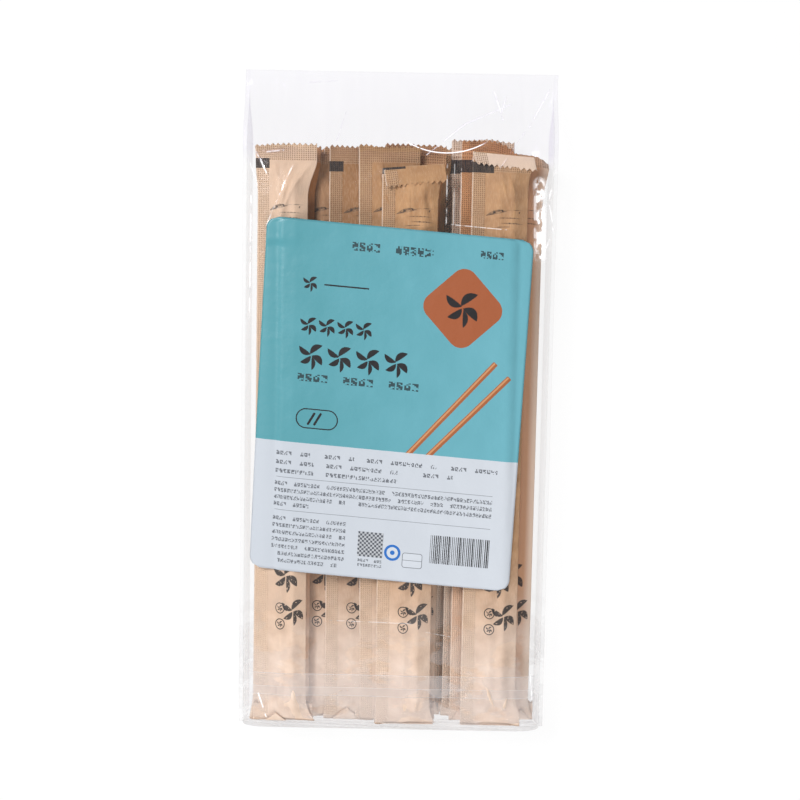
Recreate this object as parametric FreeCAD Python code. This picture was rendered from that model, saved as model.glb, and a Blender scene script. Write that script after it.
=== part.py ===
import FreeCAD, Part
import math
import os

# A retail pack of disposable bamboo chopsticks, all sizes in millimetres.
# Twenty sealed paper sleeves, each with one pair of sticks inside, lie in a clear film bag.
# The bag lies on its back: +Z points out of the label face, +Y to the sealed top of the bag.
# The origin is on the surface it rests on, under the middle of the bag.

# Sticks and their paper sleeve
stick_d = 6.0
stick_len = 240.0
paper_t = 0.1
pocket_w = 21.0
bottom_taper = 10.5
top_taper = 16.5
seal_w = 6.5
crimp_len = 9.0
tooth_pitch = 2.4
tooth_depth = 0.6
fold_lap = 0.02
seal_root = 0.2

# Clearances between plies, between sleeves and to the film
ply_gap = 0.1
nest_gap = 0.12
film_gap = 0.2
side_gap = 0.6
crimp_gap = 0.2
lean_gap = 0.13

# Places of the stacks across the bag: what each one adds to the closest nested spacing
slack_second_stack = 4.7
slack_third_stack = 1.7
slack_edge_sleeve = 0.1
fan_steps = (0.0, 3.4, 6.7, 11.9)

# The first stack's top sleeve leans over the side of the stack
lean_shift = -4.1
lean_along = 0.8
lean_roll = -10.0
droop_tilt = 60.0
slack_tilt = 25.0
tuck_tilt = -50.0

# Film bag
film_t = 0.1
bag_len = 315.0
end_room = 3.4
end_slope_len = 6.5
end_drop = 0.8
bag_side = 16.0
fin_w = 2.0
fin_root = 0.5
top_seal_len = 5.0
top_seal_z = 6.0
seal_spread = 0.2
seal_slot = 0.02
head_start = 1.2
flap_len = 26.5
flap_w = 136.0

# Printed label
label_w = 127.0
label_h = 167.0
label_t = 0.1
label_gap = 0.05
label_corner = 5.5
label_turn = -4.0
label_x = -3.9
label_y = -1.7
label_side_gap = 1.2

# Sleeve section: paper drawn from the two round sticks to the pocket's edges
ply_half = paper_t
crown_r = stick_d / 2 + paper_t
crown_x = crown_r
pocket_half = pocket_w / 2
edge_angle = math.asin(crown_r / (pocket_half - crown_x))
touch_x = crown_x + crown_r * math.sin(edge_angle)
touch_z = crown_r * math.cos(edge_angle)
side_slope = (touch_z - ply_half) / (pocket_half - touch_x)

# A flattened pocket is half its perimeter wide, so both crimps are wider than the pocket
side_run = math.hypot(pocket_half - touch_x, touch_z)
flat_w = 2 * (crown_x + crown_r * edge_angle + side_run)
crimp_flare = flat_w - pocket_w

# Levels of the sleeves: whole levels carry the main stacks, half levels nest between them
level_pitch = 2 * (crown_r + ply_half + ply_gap)
level_zero = film_t + film_gap + crown_r
top_level = 3.0
bag_t = level_zero + top_level * level_pitch + crown_r + film_gap + film_t

# Stack centres across the bag, from the nested spacing of neighbours half a level apart
nest_step = pocket_w - (level_pitch / 2 - 2 * ply_half - nest_gap) / side_slope
step_second = nest_step + slack_second_stack
step_third = nest_step + slack_third_stack
step_level = max(2 * nest_step, flat_w + seal_w + crimp_gap)
first_x = 0.0
second_x = first_x + step_second
third_x = second_x + step_third
fourth_x = third_x + step_level / 2
fifth_x = third_x + step_level
fan_x = fifth_x + step_level
edge_x = fan_x + fan_steps[2] + nest_step + slack_edge_sleeve
right_end = edge_x + pocket_half + crimp_flare + side_gap
left_end = first_x - pocket_half - seal_w - side_gap - 2 * ply_half
bag_half = (right_end - left_end) / 2 + film_t
middle_x = (right_end + left_end) / 2

# The leaning sleeve rests on the shoulder of the sleeve under it
lean_angle = math.radians(-lean_roll)
lean_reach = crown_x + lean_shift + crown_r * math.sin(lean_angle)
lean_rise = crown_r * math.cos(lean_angle) + lean_reach * math.tan(lean_angle)
lean_z = level_zero + (top_level - 1) * level_pitch + crown_r + lean_gap + lean_rise

# Places along the bag
bag_bottom = -bag_len / 2
bag_top = bag_len / 2
sleeve_bottom = bag_bottom + end_room
pocket_len = bottom_taper + stick_len + top_taper
head_y = sleeve_bottom + pocket_len + crimp_len + head_start
inner_top = bag_top - top_seal_len


def level_z(level):
    """Height of a sleeve's middle plane: level 0 rests on the back film, one unit is a pitch."""
    return level_zero + level * level_pitch


def section_wire(y, full, flare):
    """Closed outline of the paper pocket at y: full is 1 over the sticks and 0 where it is flat."""
    crown_z = ply_half + (crown_r - ply_half) * full
    side_z = ply_half + (touch_z - ply_half) * full
    bow = math.pi / 2 - edge_angle / 2
    bow_x = crown_x + crown_r * math.cos(bow)
    bow_z = ply_half + (crown_r * math.sin(bow) - ply_half) * full
    right = pocket_half + flare

    def at(x, z):
        return FreeCAD.Vector(x, y, z)

    def shoulder(x_first, z_first, x_middle, z_middle, x_last, z_last):
        first = at(x_first, z_first)
        last = at(x_last, z_last)
        if full == 0:
            return Part.makeLine(first, last)
        return Part.Arc(first, at(x_middle, z_middle), last).toShape()

    edges = [
        Part.makeLine(at(-pocket_half, -ply_half), at(-pocket_half, ply_half)),
        Part.makeLine(at(-pocket_half, ply_half), at(-touch_x, side_z)),
        shoulder(-touch_x, side_z, -bow_x, bow_z, -crown_x, crown_z),
        Part.makeLine(at(-crown_x, crown_z), at(crown_x, crown_z)),
        shoulder(crown_x, crown_z, bow_x, bow_z, touch_x, side_z),
        Part.makeLine(at(touch_x, side_z), at(right, ply_half)),
        Part.makeLine(at(right, ply_half), at(right, -ply_half)),
        Part.makeLine(at(right, -ply_half), at(touch_x, -side_z)),
        shoulder(touch_x, -side_z, bow_x, -bow_z, crown_x, -crown_z),
        Part.makeLine(at(crown_x, -crown_z), at(-crown_x, -crown_z)),
        shoulder(-crown_x, -crown_z, -bow_x, -bow_z, -touch_x, -side_z),
        Part.makeLine(at(-touch_x, -side_z), at(-pocket_half, -ply_half)),
    ]
    return Part.Wire(edges)


def pinked_prism(y_root, y_edge, z_low, z_high):
    """Upright prism over a crimp: straight at y_root, cut in zigzag teeth at y_edge."""
    left = -pocket_half - seal_w
    right = pocket_half + crimp_flare
    teeth = round((right - left) / tooth_pitch)
    pitch = (right - left) / teeth
    inward = tooth_depth if y_root > y_edge else -tooth_depth
    points = [(left, y_root), (left, y_edge)]
    for tooth in range(teeth):
        points.append((left + (tooth + 0.5) * pitch, y_edge + inward))
        points.append((left + (tooth + 1) * pitch, y_edge))
    points.append((right, y_root))
    points.append(points[0])
    outline = Part.makePolygon([FreeCAD.Vector(x, y, z_low) for x, y in points])
    return Part.Face(outline).extrude(FreeCAD.Vector(0, 0, z_high - z_low))


def seal_strip(y_low, y_high, tilt):
    """Flat long seal on the pocket's left edge, turned by tilt degrees about that edge."""
    corner = FreeCAD.Vector(-pocket_half - seal_w, y_low, -ply_half)
    strip = Part.makeBox(seal_w + seal_root, y_high - y_low, 2 * ply_half, corner)
    strip.rotate(FreeCAD.Vector(-pocket_half, 0, 0), FreeCAD.Vector(0, 1, 0), -tilt)
    return strip


def paper_sleeve(tail, folded_front, tilt):
    """One sealed sleeve with its pair: pocket, long seal, top crimp and folded bottom crimp.

    Its bottom fold lies at y 0, tail is the part of the bottom crimp that isn't folded back.
    """
    full_low = tail + bottom_taper
    full_high = full_low + stick_len
    pocket_top = full_high + top_taper
    wires = [section_wire(tail, 0, crimp_flare)]
    if tail > 0:
        wires.insert(0, section_wire(0, 0, crimp_flare))
    wires.append(section_wire(full_low, 1, 0))
    wires.append(section_wire(full_high, 1, 0))
    wires.append(section_wire(pocket_top, 0, crimp_flare))
    pocket = Part.makeLoft(wires, True, True)
    strip_top = pocket_top if folded_front else pocket_top + crimp_len - tooth_depth
    body = pocket.fuse(seal_strip(0, strip_top, tilt))
    tall = crown_r + 4 * paper_t
    ply = 2 * paper_t - fold_lap

    under = body.copy()
    under.translate(FreeCAD.Vector(0, 0, -ply))
    under_corner = FreeCAD.Vector(-pocket_half - seal_w, 0, -seal_w)
    under_box = Part.makeBox(seal_w + pocket_w + crimp_flare, crimp_len - tail, seal_w + tall, under_corner)
    under = under.common(under_box)
    if folded_front:
        crimp = body.copy()
        crimp.translate(FreeCAD.Vector(0, 0, ply))
        crimp = crimp.common(pinked_prism(pocket_top, pocket_top - crimp_len, -tall, tall))
    else:
        crimp = pinked_prism(pocket_top - tooth_depth, pocket_top + crimp_len, -ply_half, ply_half)
        if tilt != 0:
            keep = Part.makeBox(
                pocket_w * 2, 4 * crimp_len, 1, FreeCAD.Vector(-pocket_half, pocket_top - crimp_len, -0.5)
            )
            crimp = crimp.common(keep)
    return body.fuse([under, crimp]).removeSplitter()


def place_sleeve(shape, x, rise, height, roll=0.0):
    """Turn a sleeve about its length and set it at its stack, height and place along the bag."""
    shape.rotate(FreeCAD.Vector(0, 0, 0), FreeCAD.Vector(0, 1, 0), roll)
    shape.translate(FreeCAD.Vector(x - middle_x, sleeve_bottom + rise, height))
    return shape


def bag_wire(y, half, z_low, z_high, inset):
    """Bag outline at y: flat back and front joined by half ellipses, moved inwards by inset."""
    flat = half - bag_side
    reach = bag_side - inset
    low = z_low + inset
    high = z_high - inset
    middle = (low + high) / 2
    rise = (high - low) / 2

    def at(x, z):
        return FreeCAD.Vector(x, y, z)

    def side(sign):
        centre = at(sign * flat, middle)
        long_end = at(sign * (flat + reach), middle)
        short_end = at(sign * flat, middle + rise)
        quarter = math.pi / 2
        if reach >= rise:
            curve = Part.Ellipse(long_end, short_end, centre)
            return Part.ArcOfEllipse(curve, -quarter, quarter).toShape()
        curve = Part.Ellipse(short_end, long_end, centre)
        return Part.ArcOfEllipse(curve, 0, 2 * quarter).toShape()

    edges = [
        Part.makeLine(at(-flat, low), at(flat, low)),
        side(1),
        Part.makeLine(at(flat, high), at(-flat, high)),
        side(-1),
    ]
    return Part.Wire(Part.__sortEdges__(edges))


def bag_stations():
    """Outline of the bag along its length: y, half width, lowest and highest z."""
    seal_half = bag_half + seal_spread
    seal_low = top_seal_z - film_t - seal_slot / 2
    seal_high = top_seal_z + film_t + seal_slot / 2
    return [
        (bag_bottom, bag_half, end_drop, bag_t - end_drop),
        (bag_bottom + end_slope_len, bag_half, 0.0, bag_t),
        (head_y, bag_half, 0.0, bag_t),
        (inner_top, seal_half, seal_low, seal_high),
        (bag_top, seal_half, seal_low, seal_high),
    ]


def side_fin(sign):
    """Welded side edge of the bag: two plies of film that stand out along its middle height."""
    wires = []
    for y, half, low, high in bag_stations():
        middle = (low + high) / 2
        near = sign * (half - fin_root)
        far = sign * (half + fin_w)
        corners = [
            FreeCAD.Vector(near, y, middle - film_t),
            FreeCAD.Vector(far, y, middle - film_t),
            FreeCAD.Vector(far, y, middle + film_t),
            FreeCAD.Vector(near, y, middle + film_t),
        ]
        wires.append(Part.makePolygon(corners + corners[:1]))
    return Part.makeLoft(wires, True, True)


def clear_bag():
    """Film bag: hollow pillow with a flat top seal, side fins and the closing flap on the front."""
    stations = bag_stations()
    outer = Part.makeLoft([bag_wire(*station, 0.0) for station in stations], True, True)
    rooms = stations[:4]
    rooms[0] = (bag_bottom + film_t,) + rooms[0][1:]
    inner = Part.makeLoft([bag_wire(*room, film_t) for room in rooms], True, True)
    flap = outer.copy()
    flap.translate(FreeCAD.Vector(0, 0, film_t))
    front = Part.makeBox(
        flap_w, flap_len, bag_t, FreeCAD.Vector(-flap_w / 2, bag_bottom, bag_t / 2 + end_drop)
    )
    whole = outer.fuse([side_fin(1), side_fin(-1), flap.common(front)])
    return whole.cut(inner).removeSplitter()


def label():
    """Printed label on the front of the bag, slightly turned and wrapped round its left side."""
    span = label_h * 1.2
    start = label_y - span / 2

    def prism(grow):
        """Bag outline grown by grow and drawn along the label's length."""
        wire = bag_wire(start, bag_half, 0.0, bag_t, -grow)
        return Part.Face(wire).extrude(FreeCAD.Vector(0, span, 0))

    skin = prism(label_gap + label_t).cut(prism(label_gap))
    low = FreeCAD.Vector(-label_w / 2, -label_h / 2, 0)
    sheet = Part.makeBox(label_w, label_h, bag_t * 2, low)
    corners = [edge for edge in sheet.Edges if abs(edge.Vertexes[0].Z - edge.Vertexes[1].Z) > bag_t]
    sheet = sheet.makeFillet(label_corner, corners)
    sheet.rotate(FreeCAD.Vector(0, 0, 0), FreeCAD.Vector(0, 0, 1), label_turn)
    sheet.translate(FreeCAD.Vector(label_x, label_y, 0))
    edge = bag_half - label_side_gap
    window = Part.makeBox(
        2 * edge, span, bag_t, FreeCAD.Vector(-edge, start, bag_t / 2 + fin_w)
    )
    return skin.common(sheet).common(window)


# Every sleeve: stack centre, level, rise along the bag, tail, crimp to the front, seal tilt
fan = [fan_x + step for step in fan_steps]
plain_sleeves = [
    (first_x, 0.0, 0.6, 0.0, False, tuck_tilt),
    (first_x, 1.0, 0.0, 0.0, False, 0.0),
    (first_x, 2.0, 0.4, 0.0, False, slack_tilt),
    (second_x, 0.5, 0.3, 0.0, False, 0.0),
    (second_x, 1.5, 0.0, 0.0, False, 0.0),
    (third_x, 0.0, 0.5, 0.0, False, 0.0),
    (third_x, 1.0, 0.2, 0.0, False, 0.0),
    (third_x, 2.0, 0.0, 0.0, False, 0.0),
    (fourth_x, 1.5, 0.4, 0.0, False, 0.0),
    (fourth_x, 2.5, 0.7, 0.0, False, 0.0),
    (fifth_x, 0.0, 0.3, 0.0, False, 0.0),
    (fifth_x, 1.0, 0.6, 0.0, False, 0.0),
    (fifth_x, 2.0, 0.4, 0.0, False, 0.0),
    (fifth_x, 3.0, 0.0, 0.0, True, 0.0),
    (fan[0], 0.0, 0.5, 0.0, False, 0.0),
    (fan[1], 1.0, 0.2, 0.0, False, 0.0),
    (fan[2], 2.0, 0.6, 0.0, False, 0.0),
    (fan[3], 3.0, 0.0, 5.6, True, 0.0),
    (edge_x, 1.5, 0.3, 0.0, False, 0.0),
]


def build():
    """Every sub-part of the pack, by the name of its node."""
    nodes = {"clear_bag": clear_bag(), "label": label()}
    leaning = paper_sleeve(0.0, False, droop_tilt)
    nodes["wrapped_pair_01"] = place_sleeve(leaning, first_x + lean_shift, lean_along, lean_z, lean_roll)
    for number, (x, level, rise, tail, folded_front, tilt) in enumerate(plain_sleeves, 2):
        shape = paper_sleeve(tail, folded_front, tilt)
        nodes[f"wrapped_pair_{number:02d}"] = place_sleeve(shape, x, rise, level_z(level))
    return nodes


os.makedirs("parts", exist_ok=True)
for name, shape in build().items():
    shape.exportStep(f"parts/{name}.step")
    box = shape.BoundBox
    print(
        f"{name}: {len(shape.Solids)} solid, valid {shape.isValid()}, volume {shape.Volume:.1f},",
        f"x {box.XMin:.2f} to {box.XMax:.2f}, y {box.YMin:.2f} to {box.YMax:.2f},",
        f"z {box.ZMin:.2f} to {box.ZMax:.2f}",
    )
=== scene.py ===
# %% [markdown]
# A pack of wrapped chopsticks
# A shop pack of disposable chopsticks is three things over one another: paper sleeves with a pair
# of sticks in each, a clear film bag that is drawn over them, and a printed label stuck on the film.
# This lesson dresses the measured model of such a pack. The model gives every piece its place, and
# the cells below give it paper, film and print.

import math

import bpy
import numpy as np
from mathutils import Matrix, Vector


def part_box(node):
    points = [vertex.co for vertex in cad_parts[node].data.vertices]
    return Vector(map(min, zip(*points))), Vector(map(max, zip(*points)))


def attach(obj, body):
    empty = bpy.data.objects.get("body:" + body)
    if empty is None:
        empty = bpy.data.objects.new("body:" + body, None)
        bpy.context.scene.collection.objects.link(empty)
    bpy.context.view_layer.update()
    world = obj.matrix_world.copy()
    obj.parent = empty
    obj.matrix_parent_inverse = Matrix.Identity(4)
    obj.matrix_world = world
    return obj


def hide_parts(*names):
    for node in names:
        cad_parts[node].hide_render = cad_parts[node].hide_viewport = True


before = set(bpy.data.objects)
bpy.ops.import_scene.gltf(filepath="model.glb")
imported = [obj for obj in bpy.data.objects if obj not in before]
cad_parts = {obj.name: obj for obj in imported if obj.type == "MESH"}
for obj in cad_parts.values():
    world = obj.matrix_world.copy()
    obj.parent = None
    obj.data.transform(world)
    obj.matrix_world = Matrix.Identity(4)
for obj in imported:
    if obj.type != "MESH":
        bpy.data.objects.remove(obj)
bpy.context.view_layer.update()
MM = 0.001
pair_names = sorted(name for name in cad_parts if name.startswith("wrapped_pair"))

# %% [markdown]
# Sizes of a sleeve
# The sleeve is a flat paper tube. Two round sticks lie side by side in it, the left edge is a long
# seal, and both ends are crimped flat and cut with pinking teeth. Every size is in millimetres, as
# a maker would write it, and only the last step turns them into metres.

# %% Name the sizes of a sleeve
stick_r = 3.0
ply = 0.1
crown_r = stick_r + ply
pocket_half = 10.5
seal_w = 6.5
crimp_len = 9.0
tooth_pitch = 2.4
tooth_depth = 1.4
stick_len = 240.0
bottom_taper = 10.5
top_taper = 16.5
crimp_flare = 1.3
pocket_len = bottom_taper + stick_len + top_taper
sleeve_len = pocket_len + crimp_len
left_edge = -pocket_half - seal_w
sleeve_w = seal_w + 2 * pocket_half
edge_angle = math.asin(crown_r / (pocket_half - crown_r))
touch_x = crown_r + crown_r * math.sin(edge_angle)
touch_z = crown_r * math.cos(edge_angle)
print("sleeve", sleeve_w, "by", sleeve_len, "mm")
print("paper leaves the sticks at", round(touch_x, 2), round(touch_z, 2))

# %% [markdown]
# Soft unevenness
# Paper and film are never quite even. Their unevenness comes from a lattice of random numbers with
# smooth steps between them, because it has no direction of its own and a fixed seed gives the same
# result on every run.

# %% Noise without a direction
def soft_noise(x, y, size, seed):
    """Random lattice of numbers from -1 to 1, blended by 3t^2 - 2t^3 between its points."""
    lattice = np.random.default_rng(seed).uniform(-1, 1, (61, 67))
    column, row = np.floor(x / size).astype(int), np.floor(y / size).astype(int)
    s, t = x / size - column, y / size - row
    s, t = s * s * (3 - 2 * s), t * t * (3 - 2 * t)
    near = lattice[column % 61, row % 67] * (1 - s) + lattice[(column + 1) % 61, row % 67] * s
    far = lattice[column % 61, (row + 1) % 67] * (1 - s) + lattice[(column + 1) % 61, (row + 1) % 67] * s
    return near * (1 - t) + far * t


def ease(t):
    """Smooth step 3t^2 - 2t^3 from 0 to 1, held outside."""
    t = np.clip(t, 0, 1)
    return t * t * (3 - 2 * t)


print("noise at three places", soft_noise(np.array([0.0, 5.0, 9.0]), np.zeros(3), 4.0, 1).round(2))

# %% [markdown]
# Thin closed sheets
# Each piece here is a thin closed sheet: a front surface and a back surface over the same grid,
# joined round the rim. Writing that once lets every later cell deal with shape alone. The back of
# a sheet has its own part of the chart, so that print stays on the front.

# %% Faces of a sheet, and a piece from sheets
BACK_SHIFT = 200.0


def sheet_faces(rows, cols):
    """Quads of a front grid, its back grid turned over, and the rim between them."""
    front = np.arange(rows * cols).reshape(rows, cols)
    back = front + rows * cols
    quads = [
        np.stack([front[:-1, :-1], front[:-1, 1:], front[1:, 1:], front[1:, :-1]], -1),
        np.stack([back[:-1, :-1], back[1:, :-1], back[1:, 1:], back[:-1, 1:]], -1),
        np.stack([front[:-1, 0], front[1:, 0], back[1:, 0], back[:-1, 0]], -1),
        np.stack([front[:-1, -1], back[:-1, -1], back[1:, -1], front[1:, -1]], -1),
        np.stack([front[0, :-1], back[0, :-1], back[0, 1:], front[0, 1:]], -1),
        np.stack([front[-1, :-1], front[-1, 1:], back[-1, 1:], back[-1, :-1]], -1),
    ]
    return np.concatenate([quad.reshape(-1, 4) for quad in quads])


def build_piece(name, sheets, replaced):
    """One mesh object from sheets of (front points, back points, u, v), all in millimetres."""
    points, faces, chart, count = [], [], [], 0
    for front, back, u, v in sheets:
        rows, cols = front.shape[:2]
        points += [front.reshape(-1, 3), back.reshape(-1, 3)]
        faces.append(sheet_faces(rows, cols) + count)
        front_chart = np.stack([u, v], -1).reshape(-1, 2)
        chart += [front_chart, front_chart + [BACK_SHIFT, 0]]
        count += 2 * rows * cols
    points, faces, chart = np.concatenate(points) * MM, np.concatenate(faces), np.concatenate(chart)
    mesh = bpy.data.meshes.new(name)
    mesh.vertices.add(len(points))
    mesh.vertices.foreach_set("co", points.ravel())
    mesh.loops.add(faces.size)
    mesh.loops.foreach_set("vertex_index", faces.ravel().astype(np.int32))
    mesh.polygons.add(len(faces))
    mesh.polygons.foreach_set("loop_start", np.arange(0, faces.size, 4, dtype=np.int32))
    mesh.uv_layers.new(name="chart").data.foreach_set("uv", chart[faces.ravel()].ravel())
    mesh.update(calc_edges=True)
    mesh.validate()
    mesh.shade_smooth()
    piece = bpy.data.objects.new(name, mesh)
    bpy.context.collection.objects.link(piece)
    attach(piece, "root")
    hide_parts(replaced)
    print(name, 2 * len(faces), "triangles")
    return piece


print("a sheet of 3 by 4 points has", len(sheet_faces(3, 4)), "faces")

# %% [markdown]
# Section of a sleeve
# Paper drawn over two sticks is flat on top, rounds over each stick's outer side and runs straight
# to the pocket's edge. Seen in section it is therefore a short line, an arc and a slope. Along its
# length the section is full over the sticks and sinks to a flat crimp at both ends.

# %% Section, fullness, rows and teeth
def section_height(u, full):
    """Half thickness at u across: flat crown with a shallow dip, arc of the stick, straight slope."""
    a = np.abs(u)
    crown = crown_r - 0.35 * (1 - np.clip(a / crown_r, 0, 1) ** 2) ** 2
    arc = np.sqrt(np.clip(crown_r**2 - (a - crown_r) ** 2, 0, None))
    slope = ply + (touch_z - ply) * (pocket_half - a) / (pocket_half - touch_x)
    height = np.where(a < crown_r, crown, np.where(a < touch_x, arc, slope))
    return ply + (np.where(a < pocket_half, height, ply) - ply) * full


def fullness(v, tail):
    """Quarter sine rise over the bottom taper and over the longer top taper."""
    low = np.sin(np.clip((v - tail) / bottom_taper, 0, 1) * math.pi / 2)
    high = np.sin(np.clip((tail + pocket_len - v) / top_taper, 0, 1) * math.pi / 2) ** 1.3
    return np.minimum(low, high)


def sleeve_rows(tail, top):
    """Places along the sleeve: close together near both ends, wide apart under the label."""
    low = np.linspace(0, 46, 48, endpoint=False)
    middle = np.linspace(46, 212, 24, endpoint=False)
    high = np.linspace(212, tail + top, 66)
    return np.concatenate([low, middle, high])


def tooth_line(u):
    """Zigzag of the pinking cut: 0 at the points and tooth_depth in the notches."""
    return tooth_depth * np.abs(2 * ((u - left_edge) / tooth_pitch % 1) - 1)


print("half thickness at the middle", section_height(np.zeros(1), 1.0).round(2)[0], "mm")
print(len(sleeve_rows(0, sleeve_len)), "rows of points along a sleeve")

# %% [markdown]
# Places of the sleeves
# The model already says where each sleeve lies, so nothing is typed in again: the box of a node
# gives the stack and the level. One sleeve leans over the side of its stack, and two have the top
# crimp folded to the front. The tables below hold the small ways in which each visible sleeve
# differs from a straight one.

# %% Ways in which the sleeves differ
def by_pair(table):
    """The same table with the node's name as key in place of the pair's number."""
    return {"wrapped_pair_" + number: value for number, value in table.items()}


FOLDED = ("wrapped_pair_15", "wrapped_pair_19")
LEANING = "wrapped_pair_01"
FINE_GRID = tuple(by_pair(dict.fromkeys(
    ("01", "04", "06", "09", "10", "11", "14", "15", "16", "17", "18", "19", "20"))))
NO_UNDER_FLAP = ("wrapped_pair_02", "wrapped_pair_04", "wrapped_pair_16")
# Length of plain paper below the pocket, and of the flap that is folded to the front
LONG_TAIL = by_pair({"19": 5.6})
FLAP_LENGTHS = by_pair({"19": 6.6})
# Rise of a fold line to the right, in millimetres over 10
FOLD_SLANTS = by_pair({"15": 0.85, "19": -0.75})
# Seal strips that droop (degrees down) or stand up, and how much wider they are at top and foot
SEAL_TILTS = by_pair({"01": 28.0, "02": -50.0, "04": 25.0, "16": -30.0, "17": -26.0, "18": -10.0})
SEAL_STRETCH = by_pair({"01": (1.0, 1.45), "16": (1.4, 1.4), "17": (1.15, 1.15)})
# Small moves of a sleeve: to the right, and how much further at its foot than at its top
SHIFTS = by_pair({"01": (0.0, 2.0), "02": (4.0, 0.0), "03": (5.0, 0.0), "04": (5.0, 0.0), "06": (3.0, 0.0),
                  "09": (3.5, 1.0), "11": (4.5, 4.5), "12": (3.4, 0.0), "13": (2.6, 0.0), "15": (-0.6, 0.8),
                  "20": (-1.6, -0.6)})
# Share of the flat width that is left where the pocket is full
FULL_WIDTH = 0.94
FULL_WIDTHS = by_pair({"01": 0.86})
# Crimps that stand up over their neighbours: how far the right side sinks, and the whole crimp's lift
ARCHES = by_pair({"09": (0.0, 0.6), "11": (0.4, 0.8), "14": (0.5, 1.6), "17": (0.5, 5.0), "18": (5.0, 3.6),
                  "20": (3.0, 1.0)})
# Bend of a crimp out of its plane, in radians over its length
CURLS = by_pair({"01": 0.6, "04": -0.8, "05": -1.2, "06": -1.3, "09": 0.5, "10": -0.6, "11": 0.7, "14": 0.3,
                 "16": -0.5, "17": -0.3, "18": 0.2, "20": -1.5})
# Strong folds: (across at the crimp, across at the far end, length, height) of each
SHOULDER_FOLDS = by_pair({
    "01": [(9.0, -6.0, 30.0, 1.1), (-9.0, -3.0, 16.0, 0.7)],
    "06": [(-9.0, -2.0, 18.0, 0.9)],
    "09": [(9.0, 5.0, 24.0, 0.9), (-8.0, -2.0, 12.0, -0.6)],
    "11": [(-9.0, 5.0, 15.0, 1.0), (3.0, 8.0, 22.0, 0.6)],
    "15": [(8.0, 4.0, 20.0, -0.7)],
})
# Dog ears at the foot: (middle, half width, height)
DOG_EARS = by_pair({"01": (-6.0, 5.0, 4.5), "09": (-5.5, 7.5, 7.0), "17": (-8.0, 4.5, 9.0),
                    "18": (-12.0, 3.5, 6.0), "20": (5.5, 5.0, 6.0)})
print("moved a little:", ", ".join(name[-2:] for name in SHIFTS))

# %% [markdown]
# From a node's box to a place
# A sleeve's right edge, lower end and highest point are three sides of its node's box, so its middle
# line follows from the sizes above. A folded sleeve has its flap on top, and its middle is found
# from below.

# %% Read each sleeve's place from the model
lean_in = 2.8
lean_drop = 3.5
places = {}
for name in pair_names:
    low, high = [np.array(corner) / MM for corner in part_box(name)]
    tail = LONG_TAIL.get(name, 0.0)
    middle = high[2] - crown_r
    if name in FOLDED:
        middle = low[2] + crown_r + (0 if tail else 0.18)
    place = (high[0] - pocket_half - crimp_flare, low[1], middle, 0.0, tail)
    if name == LEANING:
        place = (high[0] - lean_in, low[1], high[2] - lean_drop, math.radians(3.0), tail)
    places[name] = (place[0] + SHIFTS.get(name, (0.0, 0.0))[0],) + place[1:]
print({name[-2:]: [round(part, 1) for part in place[:3]] for name, place in places.items()})

# %% [markdown]
# Folds in the paper
# Where a full pocket meets a flat crimp the paper has too much width, and it throws short slanting
# folds. They are ridges along lines that start at the crimp. A few strong ones are listed where the
# real sleeves have them, and twelve faint ones are drawn at random.

# %% Folds that run from the crimps
def pleats(name, u, v, tail, seed):
    """Ridges exp(-(d / w)^2) along short slanting lines that run from each crimp into the pocket."""
    rng = np.random.default_rng(seed)
    total = np.zeros(u.shape)
    for start_u, end_u, length, height in SHOULDER_FOLDS.get(name, []):
        along = np.clip((tail + pocket_len + 1 - v) / length, 0, 1)
        off = u - start_u - (end_u - start_u) * along
        total += height * np.exp(-np.abs(off) / 1.3) * np.sin(along * math.pi) ** 0.5
    for _ in range(12):
        high = rng.uniform() < 0.7
        end_v = tail + pocket_len + rng.uniform(-3, 4) if high else tail + rng.uniform(0, 4)
        reach = rng.uniform(9, 30) * (-1 if high else 0.7)
        start_u, drift = rng.uniform(-10, 10), rng.uniform(-9, 9)
        width, height = rng.uniform(0.5, 1.4), rng.uniform(-0.7, 0.8)
        along = np.clip((v - end_v) / reach, 0, 1)
        off = u - start_u - drift * along
        total += height * np.exp(-(off / width) ** 2) * np.sin(along * math.pi) ** 0.6
    if name in FOLDED:
        total *= np.clip((tail + pocket_len - 9 - v) / 5, 0, 1)
    return total


print("folds placed by hand:", sum(len(folds) for folds in SHOULDER_FOLDS.values()))

# %% [markdown]
# The paper tube
# One function of two parameters, the place across and the place along, gives the whole tube. It
# starts from a middle surface that waves a little and curls at the crimp, adds the section's height
# on both sides, and then turns and moves the result to the sleeve's place.

# %% Front and back of the paper
foot_len = 16.0


def across_line(name, u, v, full):
    """Sideways place: the pocket narrows where it is full, and the seal strip tilts off its edge."""
    slant = SHIFTS.get(name, (0.0, 0.0))[1] * (0.5 - v / sleeve_len)
    narrow = 1 - (1 - FULL_WIDTHS.get(name, FULL_WIDTH)) * full
    pocket = (u + pocket_half) * narrow - pocket_half
    pocket = pocket + crimp_flare * (1 - full) * np.clip(u / pocket_half, 0, 1) + slant
    top_stretch, foot_stretch = SEAL_STRETCH.get(name, (1.0, 1.0))
    stretch = foot_stretch + (top_stretch - foot_stretch) * v / sleeve_len
    strip = np.clip(-pocket_half - u, 0, seal_w) * stretch
    lean = math.radians(SEAL_TILTS.get(name, 0.0)) * (0.15 + 0.85 * full)
    across = np.where(u < -pocket_half, -pocket_half - strip * np.cos(lean) + slant, pocket)
    return across, strip * np.sin(lean)


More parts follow.
